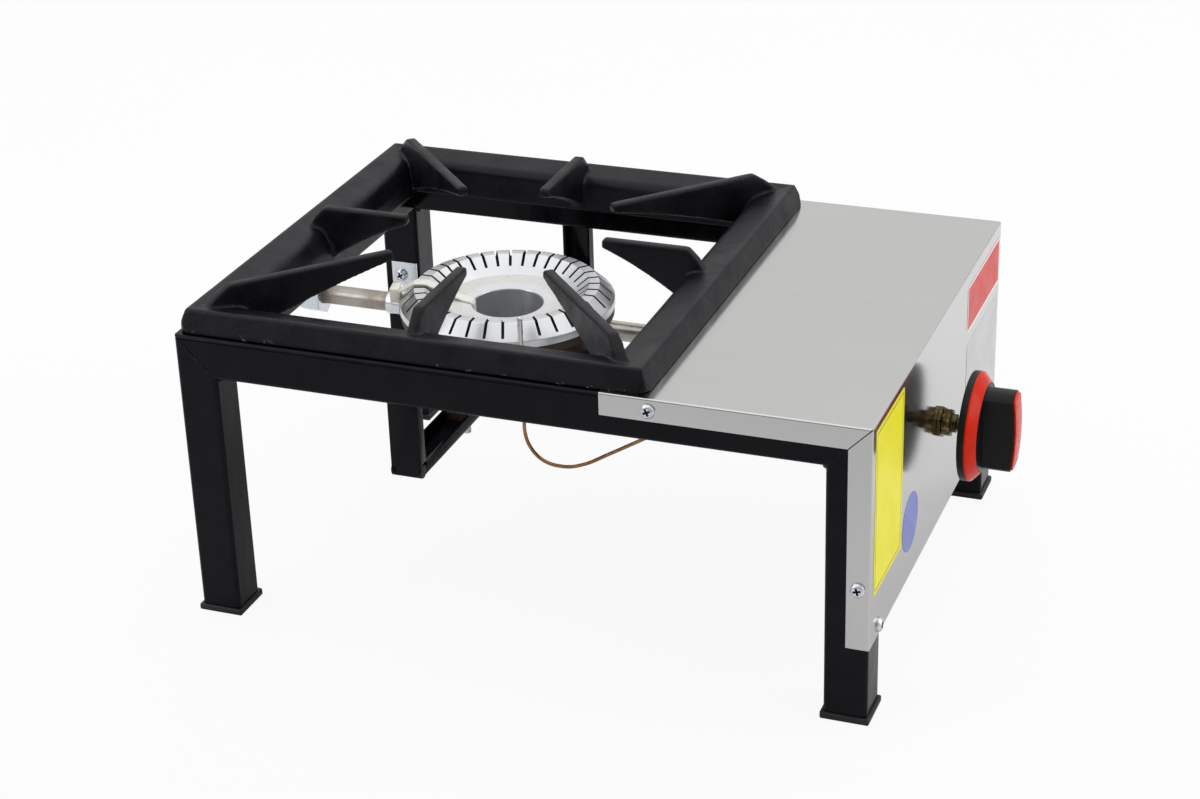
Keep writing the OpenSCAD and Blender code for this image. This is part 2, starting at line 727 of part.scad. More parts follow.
// Tap body with its neck, injector port, slanted gas inlet and sensor port
module valve_body() brass() difference() {
    union() {
        tap_rod(body_back, panel_x, tap_r);
        tap_rod(port_back, body_back, port_r);
        tap_rod(panel_x, panel_x + neck_out, neck_r);
        tap_rod(panel_x + neck_out, panel_x + neck_out + collar_out, neck_r - 1);
        at_inlet() cylinder(h = inlet_boss_l, r = inlet_boss_r);
        at_sensor_port() cylinder(h = sensor_port_l, r = sensor_port_r);
    }
    tap_rod(plug_back - 0.4, plug_front + 0.2, plug_r + run_gap);
    tap_rod(plug_front, panel_x + neck_out + collar_out + over, spindle_r + run_gap);
    tap_rod(port_back - over, plug_back, jet_r + fit_gap);
    at_inlet() translate([0, 0, plug_r - over]) cylinder(h = inlet_boss_l, r = gas_bore_r);
    at_inlet() translate([0, 0, inlet_boss_l - socket_l]) cylinder(h = socket_l + over, r = pipe_r + fit_gap);
    at_sensor_port() translate([0, 0, plug_r + lead_in]) cylinder(h = tap_r, r = lead_d / 2 + hole_gap);
}

// Out along the gas inlet, and out along the sensor port, from the tap axis
module at_inlet() translate([inlet_x, -tap_y, tap_z]) rotate([-slant, 0, 0]) rotate([-90, 0, 0]) children();
module at_sensor_port() translate([sensor_nut_x, -tap_y, tap_z]) rotate([90, 0, 0]) children();

module tap_plug() brass() difference() {
    tap_rod(plug_back, plug_front, plug_r);
    tap_rod(plug_front - counterbore, plug_front + over, spindle_r + run_gap);
    on_tap(plug_front - counterbore - key_l) translate([-key / 2 - run_gap, -key / 2 - run_gap, 0])
        cube([key + 2 * run_gap, key + 2 * run_gap, key_l + over]);
    tap_rod(plug_back - over, plug_back + plug_bore_l, gas_bore_r);
    at_inlet() cylinder(h = plug_r + over, r = side_port_r);
}

module spindle() brass() {
    tap_rod(spindle_start, spindle_end, spindle_r);
    on_tap(spindle_start - key_l) translate([-key / 2, -key / 2, 0]) cube([key, key, key_l]);
}

module neck_nut(x0, l, af) brass() difference() {
    tap_hex(x0, x0 + l, af);
    tap_rod(x0 - over, x0 + l + over, neck_r + fit_gap);
}
module lock_nut() neck_nut(panel_x + sheet, lock_l, lock_af);
module gland_nut() neck_nut(panel_x + sheet + gland_at, gland_l, gland_af);

// Knob: hollow black skirt with a bar grip, a red bevel ring and a red face insert
module grip_outline(inset) {
    half_t = grip_t / 2 - inset;
    half_l = grip_l / 2 - inset;
    intersection() {
        square([2 * half_l, 2 * half_t], center = true);
        union() {
            square([2 * (half_l - grip_end_r), 2 * half_t], center = true);
            for (s = [-1, 1]) translate([s * (half_l - grip_end_r), 0]) circle(r = grip_end_r);
        }
    }
}

// Everything behind a gently crowned face whose middle is at x
module behind_crown(x) intersection() {
    children();
    translate([x - crown_r, -tap_y + knob_r, tap_z]) rotate([90, 0, 0])
        cylinder(h = 2 * knob_r, r = crown_r, $fn = 200);
}

module knob_body() black_plastic() difference() {
    plate = knob_edge + ring_rise;
    hollow_r = knob_r - knob_wall;
    union() {
        on_tap(knob_back) rotate_extrude() polygon([[0, knob_edge + 1], [hollow_r - 5, knob_edge + 1],
            [hollow_r, knob_edge - 1.5], [hollow_r, 0], [knob_r, 0], [knob_r, knob_edge - ring_t],
            [ring_inner_r, plate - ring_t], [ring_inner_r, plate], [0, plate]]);
        tap_rod(knob_back + 0.5, knob_back + knob_edge + 2, hub_r);
        behind_crown(knob_front - insert_t) on_tap(knob_plate - grip_root)
            linear_extrude(knob_depth) grip_outline(0);
    }
    tap_rod(knob_back - over, spindle_end + fit_gap, spindle_r + fit_gap);
}

module knob_ring() red_plastic() on_tap(knob_back + knob_edge) rotate_extrude() polygon([
    [knob_r, fit_gap - ring_t], [knob_r, 0], [ring_inner_r + fit_gap, ring_rise],
    [ring_inner_r + fit_gap, ring_rise - ring_t + fit_gap]]);

module knob_insert() red_plastic() difference() {
    behind_crown(knob_front) on_tap(knob_plate) linear_extrude(knob_depth) grip_outline(insert_in);
    translate([knob_front - insert_t - crown_r, -tap_y + knob_r, tap_z]) rotate([90, 0, 0])
        cylinder(h = 2 * knob_r, r = crown_r + fit_gap / 2, $fn = 200);
}

// Bent gas pipe, open from end to end
module pipe_shape(r, extra) on_pipe() {
    end_l = slant_l - inlet_boss_l + socket_l;
    bend_x = inlet_x - bend_r;
    translate([left_x - pipe_out - extra, 0, 0]) rotate([0, 90, 0])
        cylinder(h = bend_x - left_x + pipe_out + extra, r = r);
    translate([bend_x, -bend_r, 0]) rotate_extrude(angle = 90) translate([bend_r, 0]) circle(r = r);
    translate([inlet_x, -bend_r, 0]) rotate([90, 0, 0]) cylinder(h = end_l - bend_r + extra, r = r);
}
module gas_pipe() color([0.55, 0.52, 0.48]) difference() {
    pipe_shape(pipe_r, 0);
    pipe_shape(pipe_r - pipe_wall, over);
}

// Union nut over the pipe where it enters the tap's inlet
module union_nut() brass() at_inlet() translate([0, 0, inlet_boss_l]) difference() {
    cylinder(h = union_l, d = union_af / cos(30), $fn = 6);
    translate([0, 0, -over]) cylinder(h = union_l + 2 * over, r = pipe_r + fit_gap);
}

// Zinc strip round the pipe, screwed to the back left leg
module at_clamp_screw() translate([leg_mid_x, half_d - tube - clamp_t, pipe_z + clamp_screw_up])
    rotate([90, 0, 0]) children();
module pipe_clamp() zinc() difference() {
    x0 = leg_mid_x + clamp_off - clamp_w / 2;
    ring_r = pipe_r + fit_gap + clamp_t;
    union() {
        translate([x0, pipe_y, pipe_z]) rotate([0, 90, 0]) cylinder(h = clamp_w, r = ring_r);
        block([x0, half_d - tube - clamp_t, pipe_z], [x0 + clamp_w, half_d - tube, pipe_z + clamp_up]);
    }
    translate([x0 - over, pipe_y, pipe_z]) rotate([0, 90, 0])
        cylinder(h = clamp_w + 2 * over, r = pipe_r + fit_gap);
    at_clamp_screw() translate([0, 0, -2 * clamp_t]) cylinder(h = 4 * clamp_t, r = clamp_screw_r + hole_gap);
}
module clamp_screw() zinc() at_clamp_screw()
    pan_screw(screw_head_r, screw_head_h, clamp_screw_r, clamp_screw_l);

// Hose end: a hex nut on the pipe and a barbed nozzle
module from_pipe_end() translate([left_x - pipe_out, pipe_y, pipe_z]) rotate([0, -90, 0]) children();
module hose_nut() zinc() from_pipe_end() difference() {
    translate([0, 0, -nut_grip]) cylinder(h = hose_nut_l, d = hose_nut_af / cos(30), $fn = 6);
    translate([0, 0, -nut_grip - over]) cylinder(h = nut_grip + over, r = pipe_r + fit_gap);
    translate([0, 0, -over]) cylinder(h = nut_out + 2 * over, r = nozzle_r + fit_gap);
}
module hose_nozzle() brass() from_pipe_end() difference() {
    union() {
        translate([0, 0, fit_gap]) cylinder(h = nut_out + nozzle_l - fit_gap, r = nozzle_r);
        for (i = [1:barbs]) translate([0, 0, nut_out + nozzle_l - i * barb_step]) {
            cylinder(h = barb_land, r = nozzle_r + barb_rise);
            translate([0, 0, barb_land]) cylinder(h = barb_slope, r1 = nozzle_r + barb_rise, r2 = nozzle_r);
        }
    }
    translate([0, 0, -over]) cylinder(h = nut_out + nozzle_l + 2 * over, r = nozzle_r - nozzle_wall);
}

// Flame sensor with its clip, screw, nut and copper lead
module sensor() color([0.75, 0.75, 0.74]) translate([sensor_x, sensor_y, 0]) difference() {
    union() {
        translate([0, 0, sensor_stem_low])
            cylinder(h = sensor_top - sensor_stem_low - sensor_tip_l, r = sensor_stem_r);
        translate([0, 0, sensor_stem_low]) cylinder(h = sensor_collar_h, r = sensor_collar_r);
        translate([0, 0, sensor_top - sensor_tip_l]) cylinder(h = sensor_tip_l - sensor_r, r = sensor_r);
        translate([0, 0, sensor_top - sensor_r]) sphere(r = sensor_r);
    }
    translate([0, 0, sensor_stem_low - over]) cylinder(h = over + lead_in, r = lead_d / 2 + hole_gap);
}
module sensor_clip() zinc() difference() {
    on_burner(clip_z) rotate([0, 0, sensor_turn]) translate([chamber_r, -clip_w / 2, 0])
        cube([sensor_dist - chamber_r + clip_w / 2, clip_w, clip_t]);
    translate([sensor_x, sensor_y, clip_z - over])
        cylinder(h = clip_t + 2 * over, r = sensor_stem_r + fit_gap);
    at_clip_screw() translate([0, 0, -clip_t - over])
        cylinder(h = clip_t + 2 * over, r = clip_screw_r + hole_gap);
}
module sensor_screw() zinc() at_clip_screw()
    pan_screw(2 * clip_screw_r, 1.3 * clip_screw_r, clip_screw_r, clip_screw_l - 1);
module sensor_nut() brass() at_sensor_port() translate([0, 0, sensor_port_l]) difference() {
    cylinder(h = sensor_nut_l, d = sensor_nut_af / cos(30), $fn = 6);
    translate([0, 0, -over]) cylinder(h = sensor_nut_l + 2 * over, r = lead_d / 2 + hole_gap);
}

// Round tube swept along the route, with its rings turned to follow it
module sensor_lead() color([0.68, 0.42, 0.25]) {
    steps = 2;
    sides = 8;
    last = len(lead_route) - 1;
    path = [for (i = [0:last - 1], k = [0:steps - 1]) spline(lead_route, i, k / steps), lead_route[last]];
    n = len(path);
    points = [for (i = [0:n - 1], k = [0:sides - 1]) let (d = along(path, i), u = beside(d), v = cross(d, u))
        path[i] + lead_d / 2 * (cos(360 * k / sides) * u + sin(360 * k / sides) * v)];
    walls = [for (i = [0:n - 2], k = [0:sides - 1]) let (a = i * sides + k, b = i * sides + (k + 1) % sides)
        each [[a, b, a + sides], [b, b + sides, a + sides]]];
    ends = [[for (k = [sides - 1:-1:0]) k], [for (k = [0:sides - 1]) (n - 1) * sides + k]];
    polyhedron(points, concat(walls, ends));
}

front_rail();
back_rail();
left_rail();
right_rail();
cross_rail();
leg_front_left();
leg_front_right();
leg_back_left();
leg_back_right();
foot_front_left();
foot_front_right();
foot_back_left();
foot_back_right();
grate();
control_cover();
cover_screws();
burner_bracket();
burner_base();
burner_cap();
burner_bolts();
cable_tie();
mixing_tube();
injector();
valve_body();
tap_plug();
spindle();
lock_nut();
gland_nut();
knob_body();
knob_ring();
knob_insert();
gas_pipe();
union_nut();
pipe_clamp();
clamp_screw();
hose_nut();
hose_nozzle();
sensor();
sensor_clip();
sensor_screw();
sensor_nut();
sensor_lead();
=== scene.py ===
# Studio picture of the table gas stove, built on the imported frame.
# Sizes are in millimetres; those of the sensor's lead and of the stage are in metres.
import json
import math

import bmesh
import bpy
from mathutils import Matrix, Vector, noise

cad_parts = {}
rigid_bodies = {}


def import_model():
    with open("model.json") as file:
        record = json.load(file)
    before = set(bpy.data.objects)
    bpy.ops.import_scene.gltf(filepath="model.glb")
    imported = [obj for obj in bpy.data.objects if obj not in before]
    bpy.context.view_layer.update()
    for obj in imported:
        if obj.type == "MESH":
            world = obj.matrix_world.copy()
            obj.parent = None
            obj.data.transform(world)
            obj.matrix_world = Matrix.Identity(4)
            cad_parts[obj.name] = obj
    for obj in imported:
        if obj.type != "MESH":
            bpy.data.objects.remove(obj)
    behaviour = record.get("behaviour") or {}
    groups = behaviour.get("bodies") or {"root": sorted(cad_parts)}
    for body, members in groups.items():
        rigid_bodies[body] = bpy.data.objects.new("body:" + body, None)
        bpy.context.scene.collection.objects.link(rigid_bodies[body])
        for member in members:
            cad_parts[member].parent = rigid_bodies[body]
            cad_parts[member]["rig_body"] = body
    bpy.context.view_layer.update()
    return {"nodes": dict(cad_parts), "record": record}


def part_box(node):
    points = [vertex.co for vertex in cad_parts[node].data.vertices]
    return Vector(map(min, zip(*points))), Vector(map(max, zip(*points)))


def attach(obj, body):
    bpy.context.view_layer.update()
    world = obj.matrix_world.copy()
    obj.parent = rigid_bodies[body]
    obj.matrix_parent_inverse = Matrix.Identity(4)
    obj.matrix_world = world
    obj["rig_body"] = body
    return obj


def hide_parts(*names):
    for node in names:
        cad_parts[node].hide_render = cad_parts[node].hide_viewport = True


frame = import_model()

MM = 0.001
NODES = frame["nodes"]
SLOTS = {part["node"]: part["material_slot"] for part in frame["record"]["subparts"]}


def span(node):
    """Lowest and highest corner of a CAD node, in millimetres."""
    low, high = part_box(node)
    return Vector(low) / MM, Vector(high) / MM


# Places read from the frame
LEFT = span("left_rail")[0].x
RIGHT = span("right_rail")[1].x
FRONT = span("front_rail")[0].y
BACK = span("back_rail")[1].y
RAIL_LOW, RAIL_TOP = span("front_rail")[0].z, span("front_rail")[1].z
TUBE = RAIL_TOP - RAIL_LOW
FOOT_TOP = span("leg_front_left")[0].z
CROSS = span("cross_rail")[0].x
PANEL = span("control_cover")[1].x
CAP_LOW, CAP_HIGH = span("burner_cap")
BURNER_X = (CAP_LOW.x + CAP_HIGH.x) / 2
CLAMP_X = (span("pipe_clamp")[0].x + span("pipe_clamp")[1].x) / 2

# Tubes and their welds: bead radii, depth of a bead's middle in the metal, free ends
TUBE_CORNER = 2.6
MITRE_BEAD, MITRE_SUNK = 1.0, 0.75
CORNER_BEAD = 2.8
SIDE_BEAD, SIDE_SUNK = 1.6, 0.8
UNDER_BEAD, UNDER_SUNK = 1.8, 0.6
BEAD_FREE = 2.0

# Control cover: thickness, bend radius, depth of the turned edges, gap of their mitre
SHEET = 0.8
SHEET_BEND = 1.0
FLANGE = 13.2
SEAM = 0.45

# Pan-head screws and stickers
HEAD_R, HEAD_H = 4.2, 2.4
SHANK_R, SHANK_L = 1.9, 9.5
LABEL_T, LABEL_LIFT = 0.12, 0.02

# The cap's section, as in the CAD: radii, heights and the slots
CAP_R = (CAP_HIGH.x - CAP_LOW.x) / 2
CREST = CAP_HIGH.z
CREST_OUT, CREST_IN = 56.0, 49.5
SEAT = CREST - 13.3
SEAT_IN = CAP_R - 10
EDGE = SEAT + 4.8
DISH_R, DISH = 38.0, CREST - 8.5
BORE, LIP_R, LIP = 21.5, 27.0, DISH - 1.5
BORE_TOP = LIP - 1.5
WALL = 4
COLLAR_R = BORE + 2.4
FLAME_SLOTS, SLOT_W, SLOT_START = 36, 1.8, 42.5
SLOT_FLOOR = CREST - 5.5

# Most values of a noise texture lie between these two
GRAIN_LOW, GRAIN_HIGH = 0.3, 0.7


# Materials


def blank(name):
    """A new material with its node tree and main shader."""
    material = bpy.data.materials.new(name)
    material.use_nodes = True
    return material, material.node_tree, material.node_tree.nodes["Principled BSDF"]


def put(tree, kind, settings=None, **inputs):
    """Adds a node; an input is a constant or another node's socket."""
    item = tree.nodes.new(kind)
    for key, value in (settings or {}).items():
        setattr(item, key, value)
    for key, value in inputs.items():
        wire(tree, item.inputs[key.replace("_", " ")], value)
    return item


def wire(tree, socket, value):
    """Links a socket to another node's, or sets it to a constant."""
    if isinstance(value, bpy.types.NodeSocket):
        tree.links.new(value, socket)
    else:
        socket.default_value = value


def places(tree, stretch=(1, 1, 1)):
    """Points of the object in its own frame, in metres, stretched along its axes."""
    coords = put(tree, "ShaderNodeTexCoord").outputs["Object"]
    if stretch == (1, 1, 1):
        return coords
    return put(tree, "ShaderNodeMapping", Vector=coords, Scale=stretch).outputs["Vector"]


def grain(tree, scale, detail, stretch=(1, 1, 1)):
    """Noise with this many waves in a metre."""
    return put(
        tree, "ShaderNodeTexNoise", Vector=places(tree, stretch), Scale=scale, Detail=detail, Roughness=0.55
    ).outputs["Fac"]


def ramp(tree, value, *stops):
    """Colours along a value; each stop is (place, colour)."""
    item = put(tree, "ShaderNodeValToRGB", Fac=value)
    elements = item.color_ramp.elements
    while len(elements) < len(stops):
        elements.new(0.5)
    for element, (place, colour) in zip(elements, stops):
        element.position = place
        element.color = (*colour, 1)
    return item.outputs["Color"]


def remap(tree, value, low, high, to_low, to_high):
    """Maps one range of a value to another."""
    item = put(tree, "ShaderNodeMapRange", Value=value)
    for key, number in zip(("From Min", "From Max", "To Min", "To Max"), (low, high, to_low, to_high)):
        item.inputs[key].default_value = number
    return item.outputs["Result"]


def vary(tree, value, to_low, to_high):
    """Spreads the usual values of a grain over a range."""
    return remap(tree, value, GRAIN_LOW, GRAIN_HIGH, to_low, to_high)


def shades(tree, value, dark, light):
    """Gives the usual values of a grain colours from dark to light."""
    return ramp(tree, value, (GRAIN_LOW, dark), (GRAIN_HIGH, light))


def blend(tree, amount, first, second):
    """Mixes two colours."""
    return put(tree, "ShaderNodeMixRGB", Fac=amount, Color1=first, Color2=second).outputs["Color"]


def calc(tree, operation, first, second=0.0):
    """One sum or comparison of values."""
    item = put(tree, "ShaderNodeMath", {"operation": operation})
    wire(tree, item.inputs[0], first)
    wire(tree, item.inputs[1], second)
    return item.outputs["Value"]


def bumps(tree, *layers):
    """A normal roughened by layers of (height, strength, depth in millimetres)."""
    normal = None
    for height, strength, depth in layers:
        item = put(tree, "ShaderNodeBump", Height=height, Strength=strength, Distance=depth * MM)
        if normal:
            tree.links.new(normal, item.inputs["Normal"])
        normal = item.outputs["Normal"]
    return normal


def set_shader(tree, shader, **inputs):
    """Sets or links the inputs of the main shader."""
    for key, value in inputs.items():
        wire(tree, shader.inputs[key.replace("_", " ")], value)


def axis_value(tree, axis):
    """One coordinate of the object's own frame, in metres."""
    return put(tree, "ShaderNodeSeparateXYZ", Vector=places(tree)).outputs[axis]


def frame_paint():
    material, tree, shader = blank("gloss_black_paint")
    patches = grain(tree, 75, 4)
    waves = grain(tree, 28, 2, (1, 1, 0.55))
    peel = grain(tree, 520, 2)
    set_shader(
        tree,
        shader,
        Base_Color=ramp(tree, patches, (0.35, (0.0015, 0.0015, 0.0025)), (0.7, (0.0036, 0.0036, 0.0060))),
        Roughness=vary(tree, patches, 0.10, 0.20),
        Specular_IOR_Level=0.16,
        Specular_Tint=(0.92, 0.92, 1.0, 1),
        Normal=bumps(tree, (waves, 0.40, 1.8), (peel, 0.08, 0.3)),
    )
    return material


def grate_iron():
    """Coated casting, with pale flecks on its low outer edge, along the front only."""
    material, tree, shader = blank("coated_cast_iron")
    patches = grain(tree, 60, 5)
    lumps = grain(tree, 170, 4)
    fine = grain(tree, 1500, 3)
    specks = ramp(tree, grain(tree, 420, 2), (0.70, (0, 0, 0)), (0.76, (1, 1, 1)))
    # Pale flecks just above the rail, kept to the front edge.
    fleck_rise, fleck_depth = 4, 8
    low_edge = remap(tree, axis_value(tree, "Z"), (RAIL_TOP + fleck_rise) * MM, RAIL_TOP * MM, 0.0, 0.7)
    pale_flecks = ramp(tree, grain(tree, 240, 4), (0.62, (0, 0, 0)), (0.67, (1, 1, 1)))
    at_front = calc(tree, "LESS_THAN", axis_value(tree, "Y"), (FRONT + fleck_depth) * MM)
    pale_flecks = calc(tree, "MULTIPLY", calc(tree, "MULTIPLY", low_edge, at_front), pale_flecks)
    dark = ramp(tree, patches, (0.3, (0.0025, 0.0025, 0.0040)), (0.75, (0.0060, 0.0060, 0.0090)))
    worn = blend(tree, specks, dark, (0.022, 0.020, 0.020, 1))
    set_shader(
        tree,
        shader,
        Base_Color=blend(tree, pale_flecks, worn, (0.30, 0.29, 0.28, 1)),
        Roughness=vary(tree, patches, 0.28, 0.50),
        Specular_IOR_Level=0.24,
        Specular_Tint=(0.95, 0.94, 1.0, 1),
        Normal=bumps(tree, (lumps, 0.24, 0.9), (fine, 0.42, 0.3)),
    )
    return material


def stainless():
    material, tree, shader = blank("brushed_stainless")
    streaks = grain(tree, 1, 3, (5, 1700, 5))
    broad = grain(tree, 1, 3, (2, 60, 2))
    cloud = grain(tree, 9, 3)
    tone = calc(tree, "ADD", calc(tree, "MULTIPLY", streaks, 0.5), calc(tree, "MULTIPLY", broad, 0.5))
    haze = vary(tree, cloud, 0, 0.03)
    set_shader(
        tree,
        shader,
        Base_Color=ramp(tree, tone, (0.25, (0.61, 0.605, 0.595)), (0.75, (0.64, 0.635, 0.625))),
        Metallic=1.0,
        Roughness=calc(tree, "ADD", vary(tree, streaks, 0.11, 0.14), haze),
        Normal=bumps(tree, (streaks, 0.03, 0.05)),
    )
    return material


def plated_zinc():
    material, tree, shader = blank("bright_zinc")
    spangle = grain(tree, 160, 3)
    set_shader(
        tree,
        shader,
        Base_Color=shades(tree, spangle, (0.72, 0.755, 0.80), (0.76, 0.795, 0.84)),
        Metallic=1.0,
        Roughness=vary(tree, spangle, 0.26, 0.30),
        Normal=bumps(tree, (grain(tree, 900, 2), 0.02, 0.05)),
    )
    return material


def rusty_iron():
    material, tree, shader = blank("bare_casting")
    rust = grain(tree, 60, 6)
    fine = grain(tree, 900, 4)
    colour = ramp(
        tree, rust, (0.30, (0.022, 0.018, 0.017)), (0.52, (0.075, 0.052, 0.040)), (0.72, (0.16, 0.085, 0.050))
    )
    set_shader(
        tree,
        shader,
        Base_Color=colour,
        Metallic=0.35,
        Roughness=vary(tree, rust, 0.50, 0.80),
        Normal=bumps(tree, (grain(tree, 140, 4), 0.25, 0.8), (fine, 0.30, 0.3)),
    )
    return material


def burner_alloy():
    """Pale casting: a grey turned bore, a bright lip, a rough dish and a machined ring."""
    material, tree, shader = blank("cast_alloy")
    speckle = grain(tree, 1100, 3)
    cloud = grain(tree, 45, 4)
    across = calc(tree, "POWER", calc(tree, "SUBTRACT", axis_value(tree, "X"), BURNER_X * MM), 2.0)
    along = calc(tree, "POWER", axis_value(tree, "Y"), 2.0)
    radius = calc(tree, "SQRT", calc(tree, "ADD", across, along))
    bore_edge, dish_edge = BORE + 0.5, DISH_R - 1
    lip_end, dish_start = LIP_R - 1, LIP_R + 2
    bore = calc(tree, "LESS_THAN", radius, bore_edge * MM)
    outside = calc(tree, "LESS_THAN", dish_edge * MM, radius)
    dish = calc(tree, "SUBTRACT", remap(tree, radius, lip_end * MM, dish_start * MM, 0, 1), outside)
    rough = calc(tree, "MAXIMUM", dish, 0.0)
    pits = calc(tree, "MULTIPLY", rough, 0.22)
    cast = ramp(
        tree, speckle, (0.28, (0.50, 0.49, 0.465)), (0.45, (0.67, 0.66, 0.64)), (0.7, (0.74, 0.73, 0.715))
    )
    cast = blend(tree, remap(tree, cloud, 0.45, 0.75, 0.0, 0.3), cast, (0.58, 0.565, 0.535, 1))
    turned = shades(tree, cloud, (0.66, 0.67, 0.685), (0.73, 0.74, 0.755))
    grey = shades(tree, cloud, (0.55, 0.56, 0.59), (0.64, 0.65, 0.68))
    set_shader(
        tree,
        shader,
        Base_Color=blend(tree, bore, blend(tree, rough, turned, cast), grey),
        Metallic=calc(tree, "MULTIPLY", calc(tree, "MAXIMUM", outside, bore), 0.85),
        Roughness=remap(tree, rough, 0, 1, 0.30, 0.58),
        Normal=bumps(tree, (speckle, pits, 0.25), (grain(tree, 240, 3), 0.05, 0.3)),
    )
    return material


# Near-black walls for the flame slots and the screws' cross recesses: painted shade for the dark inside of
# these deep, narrow cuts.
def painted_recess_shade():
    material, tree, shader = blank("painted_recess_shade")
    cloud = grain(tree, 400, 3)
    set_shader(
        tree,
        shader,
        Base_Color=shades(tree, cloud, (0.010, 0.010, 0.010), (0.035, 0.033, 0.031)),
        Roughness=vary(tree, cloud, 0.75, 0.95),
        Normal=bumps(tree, (cloud, 0.2, 0.2)),
    )
    return material


def nylon():
    material, tree, shader = blank("natural_nylon")
    cloud = grain(tree, 150, 3)
    set_shader(
        tree,
        shader,
        Base_Color=shades(tree, cloud, (0.80, 0.77, 0.68), (0.87, 0.85, 0.78)),
        Roughness=vary(tree, cloud, 0.32, 0.48),
        Subsurface_Weight=0.25,
        Subsurface_Radius=(0.004, 0.003, 0.002),
        Subsurface_Scale=1.0,
        Normal=bumps(tree, (grain(tree, 600, 2), 0.08, 0.2)),
    )
    return material


def dull_brass():
    material, tree, shader = blank("dull_brass")
    stain = grain(tree, 220, 4)
    turned = grain(tree, 1, 2, (2600, 60, 60))
    set_shader(
        tree,
        shader,
        Base_Color=ramp(
            tree, stain, (0.3, (0.018, 0.014, 0.008)), (0.55, (0.09, 0.07, 0.03)), (0.75, (0.38, 0.30, 0.15))
        ),
        Metallic=1.0,
        Roughness=vary(tree, stain, 0.36, 0.24),
        Normal=bumps(tree, (turned, 0.10, 0.08), (stain, 0.10, 0.2)),
    )
    return material


def plastic(name, dark, light, rough, shine):
    material, tree, shader = blank(name)
    cloud = grain(tree, 120, 3)
    set_shader(
        tree,
        shader,
        Base_Color=shades(tree, cloud, dark, light),
        Roughness=vary(tree, cloud, rough - 0.05, rough + 0.05),
        Normal=bumps(tree, (grain(tree, 1400, 2), 0.08, 0.12)),
        Specular_IOR_Level=shine,
    )
    return material


def pipe_steel():
    """Bare steel, rusty beside the clamp and at the hose end."""
    material, tree, shader = blank("bare_steel_pipe")
    stain = grain(tree, 55, 5)
    fine = grain(tree, 700, 3)
    along = axis_value(tree, "X")
    rust_start, rust_full = CLAMP_X - 40, CLAMP_X - 12
    rust_fades, rust_ends = CLAMP_X + 6, CLAMP_X + 16
    end_start, end_full = LEFT - 8, LEFT - 34
    before_clamp = remap(tree, along, rust_start * MM, rust_full * MM, 0.0, 0.9)
    after_clamp = remap(tree, along, rust_fades * MM, rust_ends * MM, 1.0, 0.0)
    near_clamp = calc(tree, "MULTIPLY", before_clamp, after_clamp)
    near_end = remap(tree, along, end_start * MM, end_full * MM, 0.0, 0.7)
    rusty = calc(tree, "MAXIMUM", near_clamp, near_end)
    amount = calc(tree, "MULTIPLY", rusty, remap(tree, stain, 0.35, 0.6, 0.25, 1.0))
    steel = shades(tree, stain, (0.42, 0.405, 0.365), (0.58, 0.56, 0.515))
    rust = shades(tree, fine, (0.09, 0.05, 0.035), (0.25, 0.14, 0.09))
    polish = vary(tree, stain, 0.26, 0.38)
    set_shader(
        tree,
        shader,
        Base_Color=blend(tree, amount, steel, rust),
        Metallic=remap(tree, amount, 0.0, 1.0, 0.95, 0.3),
        Roughness=calc(tree, "ADD", polish, calc(tree, "MULTIPLY", amount, 0.3)),
        Normal=bumps(tree, (fine, 0.10, 0.15)),
    )
    return material


def drawn_metal(name, dark, light):
    material, tree, shader = blank(name)
    stain = grain(tree, 180, 4)
    set_shader(
        tree,
        shader,
        Base_Color=shades(tree, stain, dark, light),
        Metallic=1.0,
        Roughness=vary(tree, stain, 0.22, 0.36),
        Normal=bumps(tree, (grain(tree, 900, 2), 0.06, 0.1)),
    )
    return material


MATERIALS = {
    "frame_paint": frame_paint(),
    "foot_plastic": plastic(
        "foot_plastic", (0.006, 0.006, 0.007), (0.012, 0.012, 0.013), rough=0.45, shine=0.4
    ),
    "grate_iron": grate_iron(),
    "stainless": stainless(),
    "zinc": plated_zinc(),
    "burner_iron": rusty_iron(),
    "burner_alloy": burner_alloy(),
    "nylon": nylon(),
    "brass": dull_brass(),
    "knob_black": plastic(
        "satin_black", (0.003, 0.003, 0.004), (0.005, 0.005, 0.0065), rough=0.34, shine=0.22
    ),
    "knob_red": plastic(
        "gloss_red", (0.62, 0.017, 0.0015), (0.69, 0.023, 0.002), rough=0.24, shine=0.14
    ),
    "pipe_steel": pipe_steel(),
    "sensor_steel": drawn_metal("drawn_steel", (0.66, 0.66, 0.66), (0.82, 0.82, 0.81)),
    "copper": drawn_metal("dull_copper", (0.30, 0.135, 0.055), (0.52, 0.27, 0.12)),
}


# Mesh tools


def new_object(name, bm):
    """An object from a mesh in millimetres."""
    bmesh.ops.scale(bm, vec=(MM, MM, MM), verts=bm.verts)
    mesh = bpy.data.meshes.new(name)
    bm.to_mesh(mesh)
    bm.free()
    obj = bpy.data.objects.new(name, mesh)
    bpy.context.scene.collection.objects.link(obj)
    return obj


def stand_for(obj, *nodes):
    """obj stands for these CAD nodes: it rides on their body and has their material."""
    slot = SLOTS[nodes[0]]
    if not obj.data.materials:
        obj.data.materials.append(MATERIALS[slot])
    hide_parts(*nodes)
    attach(obj, NODES[nodes[0]]["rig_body"])


def smooth(obj, angle):
    """Smooth shading, with edges sharper than this angle in degrees kept."""
    obj.data.shade_smooth()
    obj.data.set_sharp_from_angle(angle=math.radians(angle))


def flat_faces(obj):
    """Keeps flat faces flat in the shading."""
    weighted = obj.modifiers.new("Flat faces", "WEIGHTED_NORMAL")
    weighted.keep_sharp = True


def soften(obj, width):
    """Small rounds on the edges, with flat faces kept flat."""
    obj.data.shade_smooth()
    bevel = obj.modifiers.new("Edges", "BEVEL")
    bevel.width = width * MM
    bevel.segments = 3
    bevel.limit_method = "ANGLE"
    bevel.angle_limit = math.radians(30)
    bevel.harden_normals = True


